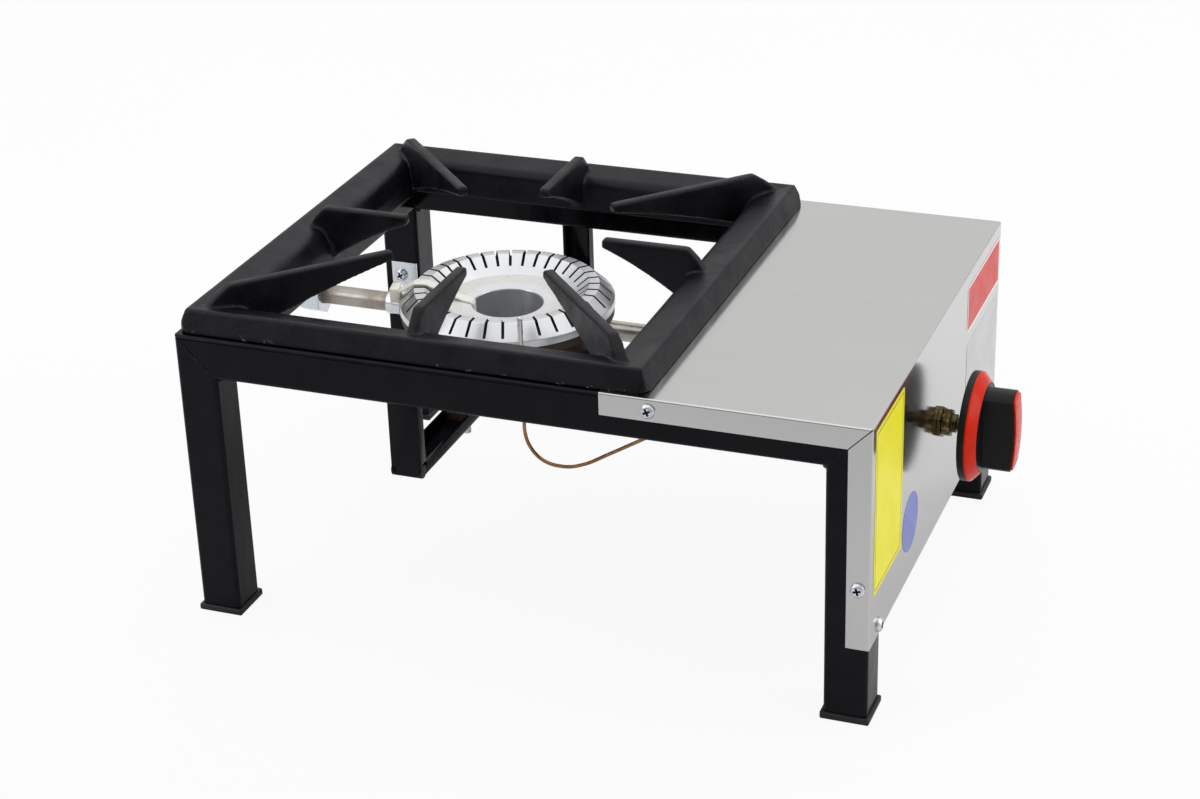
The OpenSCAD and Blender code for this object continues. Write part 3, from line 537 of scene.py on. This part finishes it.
def settle(obj):
    """Makes the modifiers' result the object's own mesh."""
    graph = bpy.context.evaluated_depsgraph_get()
    mesh = bpy.data.meshes.new_from_object(obj.evaluated_get(graph))
    obj.modifiers.clear()
    obj.data = mesh


def cut(obj, cutter_mesh, inside):
    """Takes the cutter's volume out of obj; the cut faces get the material inside."""
    cutter = new_object(obj.name + "_cutter", cutter_mesh)
    cutter.data.materials.append(inside)
    step = obj.modifiers.new("Cut", "BOOLEAN")
    step.material_mode = "TRANSFER"
    step.operation = "DIFFERENCE"
    step.solver = "EXACT"
    step.object = cutter
    settle(obj)
    bpy.data.objects.remove(cutter)


def node_mesh(node, join_flats=True):
    """A CAD node's shape in millimetres, with the triangles of its flat faces joined if asked for."""
    bm = bmesh.new()
    bm.from_mesh(NODES[node].data)
    bmesh.ops.scale(bm, vec=(1 / MM, 1 / MM, 1 / MM), verts=bm.verts)
    bmesh.ops.remove_doubles(bm, verts=bm.verts, dist=0.002)
    if join_flats:
        bmesh.ops.dissolve_limit(bm, angle_limit=math.radians(0.2), verts=bm.verts, edges=bm.edges)
    return bm


def rounded_copies(**widths):
    """Pieces that keep their CAD shape, each with its edges rounded to the given width."""
    for node, width in widths.items():
        obj = new_object(node + "_piece", node_mesh(node))
        soften(obj, width)
        stand_for(obj, node)


def skin(bm, rings, closed=True):
    """Faces between rings of equal length, with the first and last ring filled if closed."""
    count = len(rings[0])
    for first, second in zip(rings, rings[1:]):
        for k in range(count):
            after = (k + 1) % count
            bm.faces.new((first[k], first[after], second[after], second[k]))
    if closed:
        bm.faces.new(rings[0][::-1])
        bm.faces.new(rings[-1])


def fillet(points):
    """Rounds an open outline whose points are (x, y, corner radius)."""
    arc_step = math.radians(11)
    path = []
    for i, (x, y, radius) in enumerate(points):
        here = Vector((x, y))
        if radius == 0 or i in (0, len(points) - 1):
            path.append(here)
            continue
        before = (Vector(points[i - 1][:2]) - here).normalized()
        after = (Vector(points[i + 1][:2]) - here).normalized()
        half = before.angle(after) / 2
        middle = here + (before + after).normalized() * radius / math.sin(half)
        start = here + before * radius / math.tan(half) - middle
        end = here + after * radius / math.tan(half) - middle
        turn = start.angle_signed(end)
        steps = max(2, round(abs(turn) / arc_step))
        for k in range(steps + 1):
            path.append(middle + Matrix.Rotation(-turn * k / steps, 2) @ start)
    return path


def lathe(path, turns, place=None):
    """Turns an outline of (radius, height) points about the Z axis, then moves it to its place."""
    bm = bmesh.new()
    columns = []
    for k in range(turns):
        a = 2 * math.pi * k / turns
        columns.append([bm.verts.new((p[0] * math.cos(a), p[0] * math.sin(a), p[1])) for p in path])
    for first, second in zip(columns, columns[1:] + columns[:1]):
        for i in range(len(path) - 1):
            bm.faces.new((first[i], second[i], second[i + 1], first[i + 1]))
    bmesh.ops.remove_doubles(bm, verts=bm.verts, dist=0.001)
    bmesh.ops.recalc_face_normals(bm, faces=bm.faces)
    if place:
        bmesh.ops.transform(bm, matrix=place, verts=bm.verts)
    return bm


def stamp(bm, mesh, place):
    """Adds a copy of a mesh at a place."""
    before = len(bm.verts)
    bm.from_mesh(mesh)
    bm.verts.ensure_lookup_table()
    bmesh.ops.transform(bm, matrix=place, verts=bm.verts[before:])


def facing(direction, point):
    """Turns +Z to a direction and moves the origin to a point."""
    turn = Vector((0, 0, 1)).rotation_difference(Vector(direction)).to_matrix().to_4x4()
    return Matrix.Translation(point) @ turn


def bead(bm, start, end, radius, seed):
    """A lumpy weld laid along a line."""
    start, end = Vector(start), Vector(end)
    run = end - start
    side = run.orthogonal().normalized()
    up = run.normalized().cross(side)
    step, sides = 0.9, 10
    tip, taper = 0.3, 8
    lump_share, lump_pitch = 0.45, 0.45
    count = max(8, round(run.length / step))
    rings = []
    for i in range(count + 1):
        t = i / count
        thin = min(1.0, tip + taper * t, tip + taper * (1 - t))
        ring = []
        for k in range(sides):
            a = 2 * math.pi * k / sides
            out = side * math.cos(a) + up * math.sin(a)
            middle = start + run * t
            wave = noise.noise((middle + out * radius) * lump_pitch + Vector((seed, 0, 0)))
            ring.append(bm.verts.new(middle + out * radius * thin * (1 + lump_share * wave)))
        rings.append(ring)
    skin(bm, rings)


# Frame


def rounded_ring(half, corner, steps):
    """Points round a rectangle with rounded corners, about its middle; half is its half size."""
    ring = []
    for turn, (across, up) in enumerate(((1, 1), (-1, 1), (-1, -1), (1, -1))):
        for i in range(steps + 1):
            a = math.pi / 2 * (turn + i / steps)
            first = across * (half[0] - corner) + corner * math.cos(a)
            second = up * (half[1] - corner) + corner * math.sin(a)
            ring.append((first, second))
    return ring


def tube(node, place, start, end, welds=()):
    """A square tube with rounded corners; start and end give where each of its lines begins and ends."""
    middle = TUBE / 2
    ring = [(u + middle, v + middle) for u, v in rounded_ring((middle, middle), TUBE_CORNER, steps=6)]
    bm = bmesh.new()
    ends = [[bm.verts.new(place(u, v, where(u, v))) for u, v in ring] for where in (start, end)]
    skin(bm, ends)
    bmesh.ops.recalc_face_normals(bm, faces=bm.faces)
    for number, (first, last, radius) in enumerate(welds):
        bead(bm, first, last, radius, seed=number * 7.3)
    obj = new_object(node + "_piece", bm)
    smooth(obj, angle=40)
    flat_faces(obj)
    stand_for(obj, node)


def mitre_welds(y0):
    """Beads over both mitres of an arch, on its outer face and in its inner corners."""
    face = y0 + MITRE_SUNK if y0 < 0 else y0 + TUBE - MITRE_SUNK
    short = 0.5
    welds = []
    for corner, inward in ((LEFT, 1), (RIGHT, -1)):
        outer = corner + inward * BEAD_FREE
        inner = corner + inward * (TUBE - short)
        welds.append(((outer, face, RAIL_TOP - BEAD_FREE), (inner, face, RAIL_LOW + short), MITRE_BEAD))
        inside = corner + inward * TUBE
        near, far = y0 + BEAD_FREE, y0 + TUBE - BEAD_FREE
        welds.append(((inside, near, RAIL_LOW), (inside, far, RAIL_LOW), CORNER_BEAD))
    return welds


def butt_welds(node, x0):
    """Beads where a short rail meets the long ones, on its sides and underneath."""
    sides = [x0 + SIDE_SUNK, x0 + TUBE - SIDE_SUNK]
    if node == "right_rail":
        sides.pop()  # ground flat under the sheet
    low, high = RAIL_LOW + BEAD_FREE, RAIL_TOP - BEAD_FREE
    under = RAIL_LOW + UNDER_SUNK
    welds = []
    for y in (FRONT + TUBE, BACK - TUBE):
        for x in sides:
            welds.append(((x, y, low), (x, y, high), SIDE_BEAD))
        welds.append(((x0 + BEAD_FREE, y, under), (x0 + TUBE - BEAD_FREE, y, under), UNDER_BEAD))
    return welds


def add_frame():
    for node, y0 in (("front_rail", FRONT), ("back_rail", BACK - TUBE)):
        tube(
            node,
            lambda u, v, t, y0=y0: (t, y0 + u, RAIL_LOW + v),
            lambda u, v: LEFT + TUBE - v,
            lambda u, v: RIGHT - TUBE + v,
            mitre_welds(y0),
        )
    for end, y0 in (("front", FRONT), ("back", BACK - TUBE)):
        for side, corner, inward in (("left", LEFT, 1), ("right", RIGHT, -1)):
            tube(
                f"leg_{end}_{side}",
                lambda u, v, t, y0=y0, corner=corner, inward=inward: (corner + inward * u, y0 + v, t),
                lambda u, v: FOOT_TOP,
                lambda u, v: RAIL_TOP - u,
            )
    for node, x0 in (("left_rail", LEFT), ("right_rail", RIGHT - TUBE), ("cross_rail", CROSS)):
        tube(
            node,
            lambda u, v, t, x0=x0: (x0 + u, t, RAIL_LOW + v),
            lambda u, v: FRONT + TUBE,
            lambda u, v: BACK - TUBE,
            butt_welds(node, x0),
        )
    rounded_copies(foot_front_left=1.0, foot_front_right=1.0, foot_back_left=1.0, foot_back_right=1.0)


# Grate


def add_grate():
    """The casting, with its edges and inside corners rounded as they come out of the sand."""
    obj = new_object("grate_piece", node_mesh("grate", join_flats=False))
    cells = obj.modifiers.new("Cells", "REMESH")
    cells.mode = "VOXEL"
    cells.voxel_size = 0.9 * MM
    cells.use_smooth_shade = True
    rounds = obj.modifiers.new("Rounds", "SMOOTH")
    rounds.factor = 0.5
    rounds.iterations = 7
    thin = obj.modifiers.new("Fewer faces", "DECIMATE")
    thin.ratio = 0.45
    settle(obj)
    obj.data.materials.clear()
    obj.data.shade_smooth()
    stand_for(obj, "grate")


# Control cover, screws and labels


def add_cover():
    """One folded sheet: top and panel in one bend, with flanges whose corners are mitred."""
    low, high = span("control_cover")
    bend = SHEET_BEND
    steps = 6
    quarter = [math.radians(90 * i / steps) for i in range(steps + 1)]
    bm = bmesh.new()

    def strip(rows):
        """Faces between rows of points."""
        grid = [[bm.verts.new(p) for p in row] for row in rows]
        for first, second in zip(grid, grid[1:]):
            for i in range(len(first) - 1):
                bm.faces.new((first[i], first[i + 1], second[i + 1], second[i]))

    main = [(low.x, high.z)]
    for a in quarter:
        main.append((high.x - bend + bend * math.sin(a), high.z - bend + bend * math.cos(a)))
    main += [(high.x, low.z)]
    strip([[(x, y, z) for x, z in main] for y in (low.y + bend, high.y - bend)])
    edge = [(high.y - bend + bend * math.sin(a), bend - bend * math.cos(a)) for a in quarter]
    edge += [(high.y, FLANGE)]

    def short(down):
        """How far from the fold a flange ends, at a depth below its own fold."""
        return max(bend, down + SEAM)

    for side in (-1, 1):
        strip(
            [
                [(low.x, side * y, high.z - down) for y, down in edge],
                [(high.x - short(down), side * y, high.z - down) for y, down in edge],
            ]
        )
        strip(
            [
                [(high.x - down, side * y, low.z) for y, down in edge],
                [(high.x - down, side * y, high.z - short(down)) for y, down in edge],
            ]
        )
    bmesh.ops.remove_doubles(bm, verts=bm.verts, dist=0.01)
    bmesh.ops.recalc_face_normals(bm, faces=bm.faces)
    top = max(bm.faces, key=lambda f: f.calc_center_median().z)
    if top.normal.z < 0:
        bmesh.ops.reverse_faces(bm, faces=bm.faces)
    obj = new_object("control_cover_piece", bm)
    obj.data.shade_smooth()
    thick = obj.modifiers.new("Sheet", "SOLIDIFY")
    thick.thickness = SHEET * MM
    thick.offset = -1
    flat_faces(obj)
    stand_for(obj, "control_cover")


def pan_head():
    """Mesh of a pan-head screw with a cross recess, in millimetres, its head above z = 0."""
    outline = [
        (0, HEAD_H, 0),
        (HEAD_R * 0.72, HEAD_H, 1.3),
        (HEAD_R, HEAD_H * 0.45, 0.9),
        (HEAD_R, 0, 0.15),
        (SHANK_R, 0, 0),
        (SHANK_R, -SHANK_L, 0),
        (0, -SHANK_L, 0),
    ]
    obj = new_object("pan_head", lathe(fillet(outline), turns=48))
    obj.data.materials.append(MATERIALS["zinc"])
    recess = bmesh.new()
    wide, slim, deep = HEAD_R * 0.58, HEAD_R * 0.17, HEAD_H * 0.7
    proud, taper = 0.5, 0.72
    arm = ((wide, -slim), (wide, slim), (slim, slim))
    cross = [Matrix.Rotation(math.pi / 2 * k, 2) @ Vector(p) for k in range(4) for p in arm]
    rings = []
    for z, share in ((HEAD_H + proud, 1.0), (HEAD_H - deep, taper)):
        rings.append([recess.verts.new((*(p * share), z)) for p in cross])
    skin(recess, rings)
    bmesh.ops.recalc_face_normals(recess, faces=recess.faces)
    # The recess's walls get painted shade.
    cut(obj, recess, painted_recess_shade())
    obj.data.transform(Matrix.Scale(1 / MM, 4))
    mesh = obj.data
    bpy.data.objects.remove(obj)
    return mesh


def solids_of(node):
    """Lowest and highest corner of each separate solid in a node, in millimetres."""
    bm = node_mesh(node)
    left = set(bm.verts)
    found = []
    while left:
        group = [left.pop()]
        for vert in group:
            for edge in vert.link_edges:
                other = edge.other_vert(vert)
                if other in left:
                    left.remove(other)
                    group.append(other)
        found.append([Vector(f(v.co[i] for v in group) for i in range(3)) for f in (min, max)])
    bm.free()
    return found


def screw_piece(node, mesh, places):
    """One piece for the screws of a node: a copy of the mesh at each place."""
    bm = bmesh.new()
    for place in places:
        stamp(bm, mesh, place)
    obj = new_object(node + "_piece", bm)
    for material in mesh.materials:
        obj.data.materials.append(material)
    smooth(obj, angle=40)
    stand_for(obj, node)


def add_screws():
    """Cover screws and the clamp's screw; the turns of the recesses are in degrees."""
    first_turn, next_turn, clamp_turn = 25, 40, 28.65
    corner = span("control_cover")[1]
    mesh = pan_head()

    def turned(place, turn):
        return place @ Matrix.Rotation(math.radians(turn), 4, "Z")

    places = []
    screws = sorted(solids_of("cover_screws"), key=lambda box: tuple(box[0]))
    for number, (low, high) in enumerate(screws):
        middle = (low + high) / 2
        if high.x > corner.x:
            place = facing((1, 0, 0), (corner.x, middle.y, middle.z))
        else:
            side = 1 if middle.y > 0 else -1
            place = facing((0, side, 0), (middle.x, side * corner.y, middle.z))
        places.append(turned(place, first_turn + next_turn * number))
    screw_piece("cover_screws", mesh, places)
    low, high = span("clamp_screw")
    middle = (low + high) / 2
    place = facing((0, -1, 0), (middle.x, low.y + HEAD_H, middle.z))
    screw_piece("clamp_screw", mesh, [turned(place, clamp_turn)])


def label_ink(name, half, colour, line, inset=0.0, width=0.0):
    """A printed label: one plain colour, with a line of another colour round it at an inset."""
    material, tree, shader = blank(name)
    across = calc(tree, "ABSOLUTE", axis_value(tree, "Y"))
    up = calc(tree, "ABSOLUTE", axis_value(tree, "Z"))

    def within(margin):
        beside = calc(tree, "LESS_THAN", across, (half[0] - margin) * MM)
        return calc(tree, "MULTIPLY", beside, calc(tree, "LESS_THAN", up, (half[1] - margin) * MM))

    cloud = grain(tree, 60, 3)
    shade = (*(0.82 * c for c in colour), 1)
    tint = blend(tree, vary(tree, cloud, 0.0, 0.4), (*colour, 1), shade)
    edge = calc(tree, "SUBTRACT", within(inset), within(inset + width))
    set_shader(
        tree,
        shader,
        Base_Color=blend(tree, edge, tint, (*line, 1)),
        Roughness=vary(tree, cloud, 0.32, 0.42),
        Specular_IOR_Level=0.2,
        Normal=bumps(tree, (grain(tree, 90, 2), 0.04, 0.2)),
    )
    return material


def add_label(name, middle, half, corner, material):
    """A thin sticker with rounded corners on the control panel."""
    bm = bmesh.new()
    ring = rounded_ring(half, corner, steps=8)
    skin(bm, [[bm.verts.new((x, y, z)) for y, z in ring] for x in (0, LABEL_T)])
    bmesh.ops.recalc_face_normals(bm, faces=bm.faces)
    obj = new_object(name, bm)
    obj.data.materials.append(material)
    obj.location = Vector((PANEL + LABEL_LIFT, *middle)) * MM
    bpy.context.view_layer.update()
    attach(obj, "stove")


def add_labels():
    """Plain stickers where the real panel carries printed ones; middle and half size are (y, z)."""
    half = (29.0, 49.5)
    ink = label_ink("yellow_ink", half, (0.94, 0.87, 0.008), (0.05, 0.05, 0.02), inset=2.2, width=0.6)
    add_label("plain_yellow_label", (-115.0, 126.8), half, corner=1.5, material=ink)
    half = (17.5, 17.5)
    ink = label_ink("blue_ink", half, (0.21, 0.25, 0.60), (0.21, 0.25, 0.60))
    add_label("plain_blue_disc", (-65.3, 82.8), half, corner=17.4, material=ink)
    half = (42.0, 15.0)
    ink = label_ink("red_ink", half, (0.70, 0.06, 0.05), (0.85, 0.85, 0.85), width=1.6)
    add_label("plain_red_label", (106.0, 157.0), half, corner=2.5, material=ink)
    half = (41.0, 34.0)
    ink = label_ink("pale_ink", half, (0.62, 0.62, 0.63), (0.70, 0.70, 0.71), width=1.2)
    add_label("plain_pale_label", (107.0, 100.0), half, corner=1.5, material=ink)


# Burner


def add_bracket():
    """The channel with soft edges, and the beads that hold it to the long rails."""
    obj = new_object("burner_bracket_piece", node_mesh("burner_bracket"))
    soften(obj, width=0.8)
    settle(obj)
    low, high = span("burner_bracket")
    thin_bead, thick_bead = 1.8, 3.0
    face, inside = high.y - 0.5, high.y - 4
    first, last, tail = low.x + 1, high.x - 1, high.x + 9
    under, lower = RAIL_LOW - 0.6, RAIL_LOW - 0.8
    beads = bmesh.new()
    for side in (-1, 1):
        bead(beads, (first, side * face, under), (last, side * face, under), thin_bead, seed=side)
        bead(beads, (last, side * inside, lower), (tail, side * inside, under), thick_bead, seed=side + 3)
    bmesh.ops.scale(beads, vec=(MM, MM, MM), verts=beads.verts)
    extra = bpy.data.meshes.new("bracket_welds")
    beads.to_mesh(extra)
    beads.free()
    joined = bmesh.new()
    joined.from_mesh(obj.data)
    joined.from_mesh(extra)
    joined.to_mesh(obj.data)
    joined.free()
    smooth(obj, angle=40)
    stand_for(obj, "burner_bracket")


def add_cap():
    """Ring cap turned in one piece, with its flame slots cut through the crest."""
    outline = [
        (BORE, CAP_LOW.z, 0),
        (BORE, BORE_TOP, 1.0),
        (LIP_R, LIP, 10.0),
        (DISH_R, DISH, 2.0),
        (CREST_IN, CREST, 0.9),
        (CREST_OUT, CREST, 0.8),
        (CAP_R, EDGE, 0.7),
        (CAP_R, SEAT, 0.6),
        (SEAT_IN, SEAT, 0),
        (CREST_OUT - WALL - 0.5, CREST - WALL - 1, 0),
        (DISH_R + 2, DISH - WALL, 0),
        (COLLAR_R + 1, LIP - WALL, 0),
        (COLLAR_R, LIP - WALL - 1, 0),
        (COLLAR_R, CAP_LOW.z, 0),
        (BORE, CAP_LOW.z, 0),
    ]
    middle = Matrix.Translation((BURNER_X, 0, 0))
    obj = new_object("burner_cap_piece", lathe(fillet(outline), turns=252, place=middle))
    obj.data.materials.append(MATERIALS["burner_alloy"])
    start_z = CREST - (CREST - DISH) * (CREST_IN - SLOT_START) / (CREST_IN - DISH_R)
    above = CREST + 1
    shape = [
        (SLOT_START, above),
        (SLOT_START, start_z - 0.6),
        (CREST_IN - 1, SLOT_FLOOR),
        (CREST_OUT + 1, SLOT_FLOOR),
        (CAP_R - 2, EDGE + 1.2),
        (CAP_R - 1, EDGE + 3),
        (CREST_OUT + 2, above),
    ]
    cutters = bmesh.new()
    for i in range(FLAME_SLOTS):
        turn = middle @ Matrix.Rotation(2 * math.pi * i / FLAME_SLOTS, 4, "Z")
        sides = (-SLOT_W / 2, SLOT_W / 2)
        skin(cutters, [[cutters.verts.new(turn @ Vector((r, y, z))) for r, z in shape] for y in sides])
    bmesh.ops.recalc_face_normals(cutters, faces=cutters.faces)
    # The slot walls get painted shade.
    cut(obj, cutters, painted_recess_shade())
    smooth(obj, angle=24)
    stand_for(obj, "burner_cap")


def add_tie():
    """Nylon strap pulled tight round the ring's section, with its ratchet head outside the rim."""
    lug, chamber, inward = 6, 50.0, 12
    gap, thick, wide = 0.3, 1.2, 7.6
    rise, under_seat = 3, 5.2
    tie_turn = math.radians(194)
    head_t, head_w, head_l = 5.5, 1.4 * wide, 9.0
    head_out, head_up = 0.9, 2.5
    base = span("burner_base")[0].z + lug
    inner = [
        (chamber - inward, base - gap, 0),
        (BORE - gap, base - gap, 3.0),
        (BORE - gap, BORE_TOP + gap, 2.0),
        (LIP_R, LIP + gap, 8.0),
        (CREST_IN, CREST + gap, 3.0),
        (CREST_OUT, CREST + gap, 1.6),
        (CAP_R + gap, EDGE + rise + gap, 1.2),
        (CAP_R + gap, SEAT - under_seat, 2.0),
        (chamber + gap, base - gap, 2.0),
        (chamber - inward, base - gap, 0),
    ]
    path = fillet(inner)[:-1]
    count = len(path)
    turn = Matrix.Translation((BURNER_X, 0, 0)) @ Matrix.Rotation(tie_turn, 4, "Z")
    # Half of the strap's section, as shares of its width and thickness
    half = ((0.5, 0.12), (0.42, 0.0), (0.42, 1.0), (0.5, 0.88))
    profile = [(-y, o) for y, o in half[:2]] + [half[1], half[0], half[3], half[2]]
    profile += [(-y, o) for y, o in half[2:]]
    bm = bmesh.new()
    rings = []
    for i, p in enumerate(path):
        run = (path[(i + 1) % count] - path[i - 1]).normalized()
        out = Vector((-run.y, run.x))
        section = []
        for y, o in profile:
            q = p + out * thick * o
            section.append(bm.verts.new(turn @ Vector((q.x, y * wide, q.y))))
        rings.append(section)
    skin(bm, rings + rings[:1], closed=False)
    head_place = turn @ Matrix.Translation((CAP_R + head_out, 0, SEAT + head_up))
    stamp(bm, tie_head(head_t, head_w, head_l), head_place)
    bmesh.ops.recalc_face_normals(bm, faces=bm.faces)
    obj = new_object("cable_tie_piece", bm)
    smooth(obj, angle=50)
    stand_for(obj, "cable_tie")


def tie_head(thick, wide, high):
    """The ratchet head, standing outside the rim: a rounded block with a window in its outer face."""
    border, deep, edge_round = 2.0, 1.2, 0.5
    bm = bmesh.new()
    bmesh.ops.create_cube(bm, size=1.0)
    bmesh.ops.scale(bm, vec=(thick, wide, high), verts=bm.verts)
    face = max(bm.faces, key=lambda f: f.calc_center_median().x)
    bmesh.ops.inset_region(bm, faces=[face], thickness=border)
    bmesh.ops.translate(bm, vec=(-deep, 0, 0), verts=face.verts)
    bmesh.ops.bevel(bm, geom=bm.edges[:], offset=edge_round, segments=2, profile=0.5, affect="EDGES")
    bmesh.ops.translate(bm, vec=(thick / 2, 0, high / 2), verts=bm.verts)
    mesh = bpy.data.meshes.new("tie_head")
    bm.to_mesh(mesh)
    bm.free()
    return mesh


def add_burner():
    add_bracket()
    rounded_copies(burner_base=0.9)
    add_cap()
    rounded_copies(burner_bolts=0.4)
    add_tie()
    rounded_copies(mixing_tube=0.5)


# Gas tap, knob and pipe


def add_gas_parts():
    rounded_copies(knob_body=0.7, knob_ring=0.35, knob_insert=0.5)
    rounded_copies(injector=0.3, valve_body=0.3, spindle=0.3, tap_plug=0.3, union_nut=0.3)
    rounded_copies(hose_nozzle=0.3, sensor_nut=0.3, lock_nut=0.6, gland_nut=0.6)
    rounded_copies(hose_nut=0.8, gas_pipe=0.3, pipe_clamp=0.35)


# Flame sensor and its lead

# The lead's route in metres, from the sensor's collar to the tap's side port
LEAD_ROUTE = [
    (-0.008, -0.063, 0.12094),
    (-0.008, -0.063, 0.11194),
    (-0.008, -0.063, 0.10394),
    (-0.006, -0.063, 0.09594),
    (-0.001, -0.063, 0.08894),
    (0.006, -0.063, 0.08494),
    (0.014, -0.063, 0.08394),
    (0.022, -0.063, 0.08494),
    (0.032, -0.063, 0.08894),
    (0.042, -0.063, 0.09494),
    (0.052, -0.063, 0.10094),
    (0.063, -0.064, 0.10794),
    (0.081, -0.0625, 0.1182),
    (0.098, -0.0585, 0.1247),
    (0.122, -0.0525, 0.1287),
    (0.145, -0.0465, 0.1277),
    (0.162, -0.0415, 0.1237),
    (0.174, -0.0345, 0.1177),
    (0.180, -0.0275, 0.1147),
    (0.181, -0.0235, 0.1147),
    (0.181, -0.0195, 0.1147),
]
LEAD_WIDTH = 0.0022


def curve_through(route, steps=10):
    """A smooth line through every point of a route."""
    points = [Vector(p) for p in route]
    line = []
    for i in range(len(points) - 1):
        a, b = points[max(0, i - 1)], points[i]
        c, d = points[i + 1], points[min(len(points) - 1, i + 2)]
        for k in range(steps):
            t = k / steps
            square, cube = 2 * a - 5 * b + 4 * c - d, 3 * b - 3 * c + d - a
            line.append(b + t / 2 * ((c - a) + t * (square + t * cube)))
    return line + [points[-1]]


def add_lead():
    """The copper lead, a round wire along its route."""
    line = curve_through(LEAD_ROUTE)
    data = bpy.data.curves.new("sensor_lead_piece", "CURVE")
    data.dimensions = "3D"
    data.bevel_depth = LEAD_WIDTH / 2
    data.bevel_resolution = 3
    data.use_fill_caps = True
    spline = data.splines.new("POLY")
    spline.points.add(len(line) - 1)
    for point, place in zip(spline.points, line):
        point.co = (*place, 1)
    obj = bpy.data.objects.new("sensor_lead_piece", data)
    bpy.context.scene.collection.objects.link(obj)
    stand_for(obj, "sensor_lead")


def add_sensor():
    rounded_copies(sensor=0.3, sensor_clip=0.3, sensor_screw=0.2)
    add_lead()


# Floor, light and camera, in metres and watts


def add_floor():
    """A pale table top that ends a little way in front of the stove; its colour, which the stove reflects and
    gets bounced light from, is painted darker towards the front as shade.
    """
    wide, behind, ahead = 3.0, 3.0, 0.75
    painted_shade_reach, camera_white = 0.5, 0.91
    near = FRONT * MM - ahead
    bm = bmesh.new()
    corners = ((-wide, near), (wide, near), (wide, behind), (-wide, behind))
    bm.faces.new([bm.verts.new((x / MM, y / MM, 0)) for x, y in corners])
    obj = new_object("floor", bm)
    material, tree, shader = blank("pale_floor")
    # Painted shade: the floor darkens towards the front, so that the stove's front faces reflect and receive
    # less light from there.
    depth = remap(tree, axis_value(tree, "Y"), -painted_shade_reach, painted_shade_reach, 0, 1)
    tone = ramp(tree, depth, (0.05, (0.62, 0.62, 0.63)), (0.3, (0.76, 0.76, 0.77)), (0.8, (0.84, 0.84, 0.85)))
    set_shader(
        tree,
        shader,
        Base_Color=blend(tree, vary(tree, grain(tree, 3, 2), 0.0, 0.06), tone, (0.3, 0.3, 0.3, 1)),
        Roughness=0.7,
    )
    glow = put(tree, "ShaderNodeEmission", Color=(1, 1, 1, 1), Strength=1.0)
    seen = put(tree, "ShaderNodeLightPath").outputs["Is Camera Ray"]
    mix = put(tree, "ShaderNodeMixShader", Fac=calc(tree, "MULTIPLY", seen, camera_white))
    tree.links.new(shader.outputs["BSDF"], mix.inputs[1])
    tree.links.new(glow.outputs["Emission"], mix.inputs[2])
    tree.links.new(mix.outputs["Shader"], tree.nodes["Material Output"].inputs["Surface"])
    obj.data.materials.append(material)


def add_world():
    """White all round for the camera; for the stove bright above and behind, dim below and in front."""
    world = bpy.data.worlds.new("studio")
    bpy.context.scene.world = world
    world.use_nodes = True
    tree = world.node_tree
    light = tree.nodes["Background"]
    direction = put(tree, "ShaderNodeTexCoord").outputs["Generated"]
    axes = put(tree, "ShaderNodeSeparateXYZ", Vector=direction).outputs
    low, level, high = (0.10, 0.10, 0.10), (0.90, 0.90, 0.91), (0.98, 0.98, 0.98)
    tone = ramp(tree, remap(tree, axes["Z"], -1, 1, 0, 1), (0.47, low), (0.52, level), (0.8, high))
    tree.links.new(tone, light.inputs["Color"])
    turn, front_strength, back_strength = 0.8, 0.45, 0.85
    strength = remap(tree, axes["Y"], -turn, turn, front_strength, back_strength)
    tree.links.new(strength, light.inputs["Strength"])
    white = put(tree, "ShaderNodeBackground", Color=(1, 1, 1, 1), Strength=1.0)
    mix = put(tree, "ShaderNodeMixShader", Fac=put(tree, "ShaderNodeLightPath").outputs["Is Camera Ray"])
    tree.links.new(light.outputs["Background"], mix.inputs[1])
    tree.links.new(white.outputs["Background"], mix.inputs[2])
    tree.links.new(mix.outputs["Shader"], tree.nodes["World Output"].inputs["Surface"])


def add_light(name, place, target, size, power):
    """A soft rectangular lamp turned to a target."""
    data = bpy.data.lights.new(name, "AREA")
    data.shape = "RECTANGLE"
    data.size, data.size_y = size
    data.energy = power
    obj = bpy.data.objects.new(name, data)
    obj.location = place
    obj.rotation_euler = (Vector(target) - Vector(place)).to_track_quat("-Z", "Y").to_euler()
    bpy.context.scene.collection.objects.link(obj)


def add_lights():
    add_light("overhead", (-0.2, 0.2, 1.9), (0, 0, 0.1), size=(3.8, 3.0), power=22)
    add_light("left_front", (-1.6, -1.3, 1.2), (0, 0, 0.1), size=(0.9, 1.2), power=10)
    add_light("right", (1.9, 0.3, 0.9), (0.1, 0, 0.1), size=(1.2, 1.2), power=10)


def add_camera():
    """The camera where it stood for the photograph, found from the frame's edges."""
    place = (0.52152, -1.29184, 0.76900)
    turn, rise, roll = math.radians(21.393), math.radians(25.790), math.radians(-1.835)
    back = Vector((math.sin(turn) * math.cos(rise), -math.cos(turn) * math.cos(rise), math.sin(rise)))
    level = Vector((math.cos(turn), math.sin(turn), 0))
    upright = back.cross(level)
    right = math.cos(roll) * level + math.sin(roll) * upright
    up = math.cos(roll) * upright - math.sin(roll) * level
    data = bpy.data.cameras.new("camera")
    data.sensor_fit = "HORIZONTAL"
    data.sensor_width = 36.0
    data.lens = 76.19
    obj = bpy.data.objects.new("camera", data)
    turned = Matrix((right, up, back)).transposed().to_4x4()
    obj.matrix_world = Matrix.Translation(place) @ turned
    bpy.context.scene.collection.objects.link(obj)
    bpy.context.scene.camera = obj


add_camera()
add_world()
add_lights()
add_floor()
add_sensor()
add_frame()
add_grate()
add_cover()
add_screws()
add_labels()
add_burner()
add_gas_parts()
bpy.context.scene.view_settings.view_transform = "Standard"
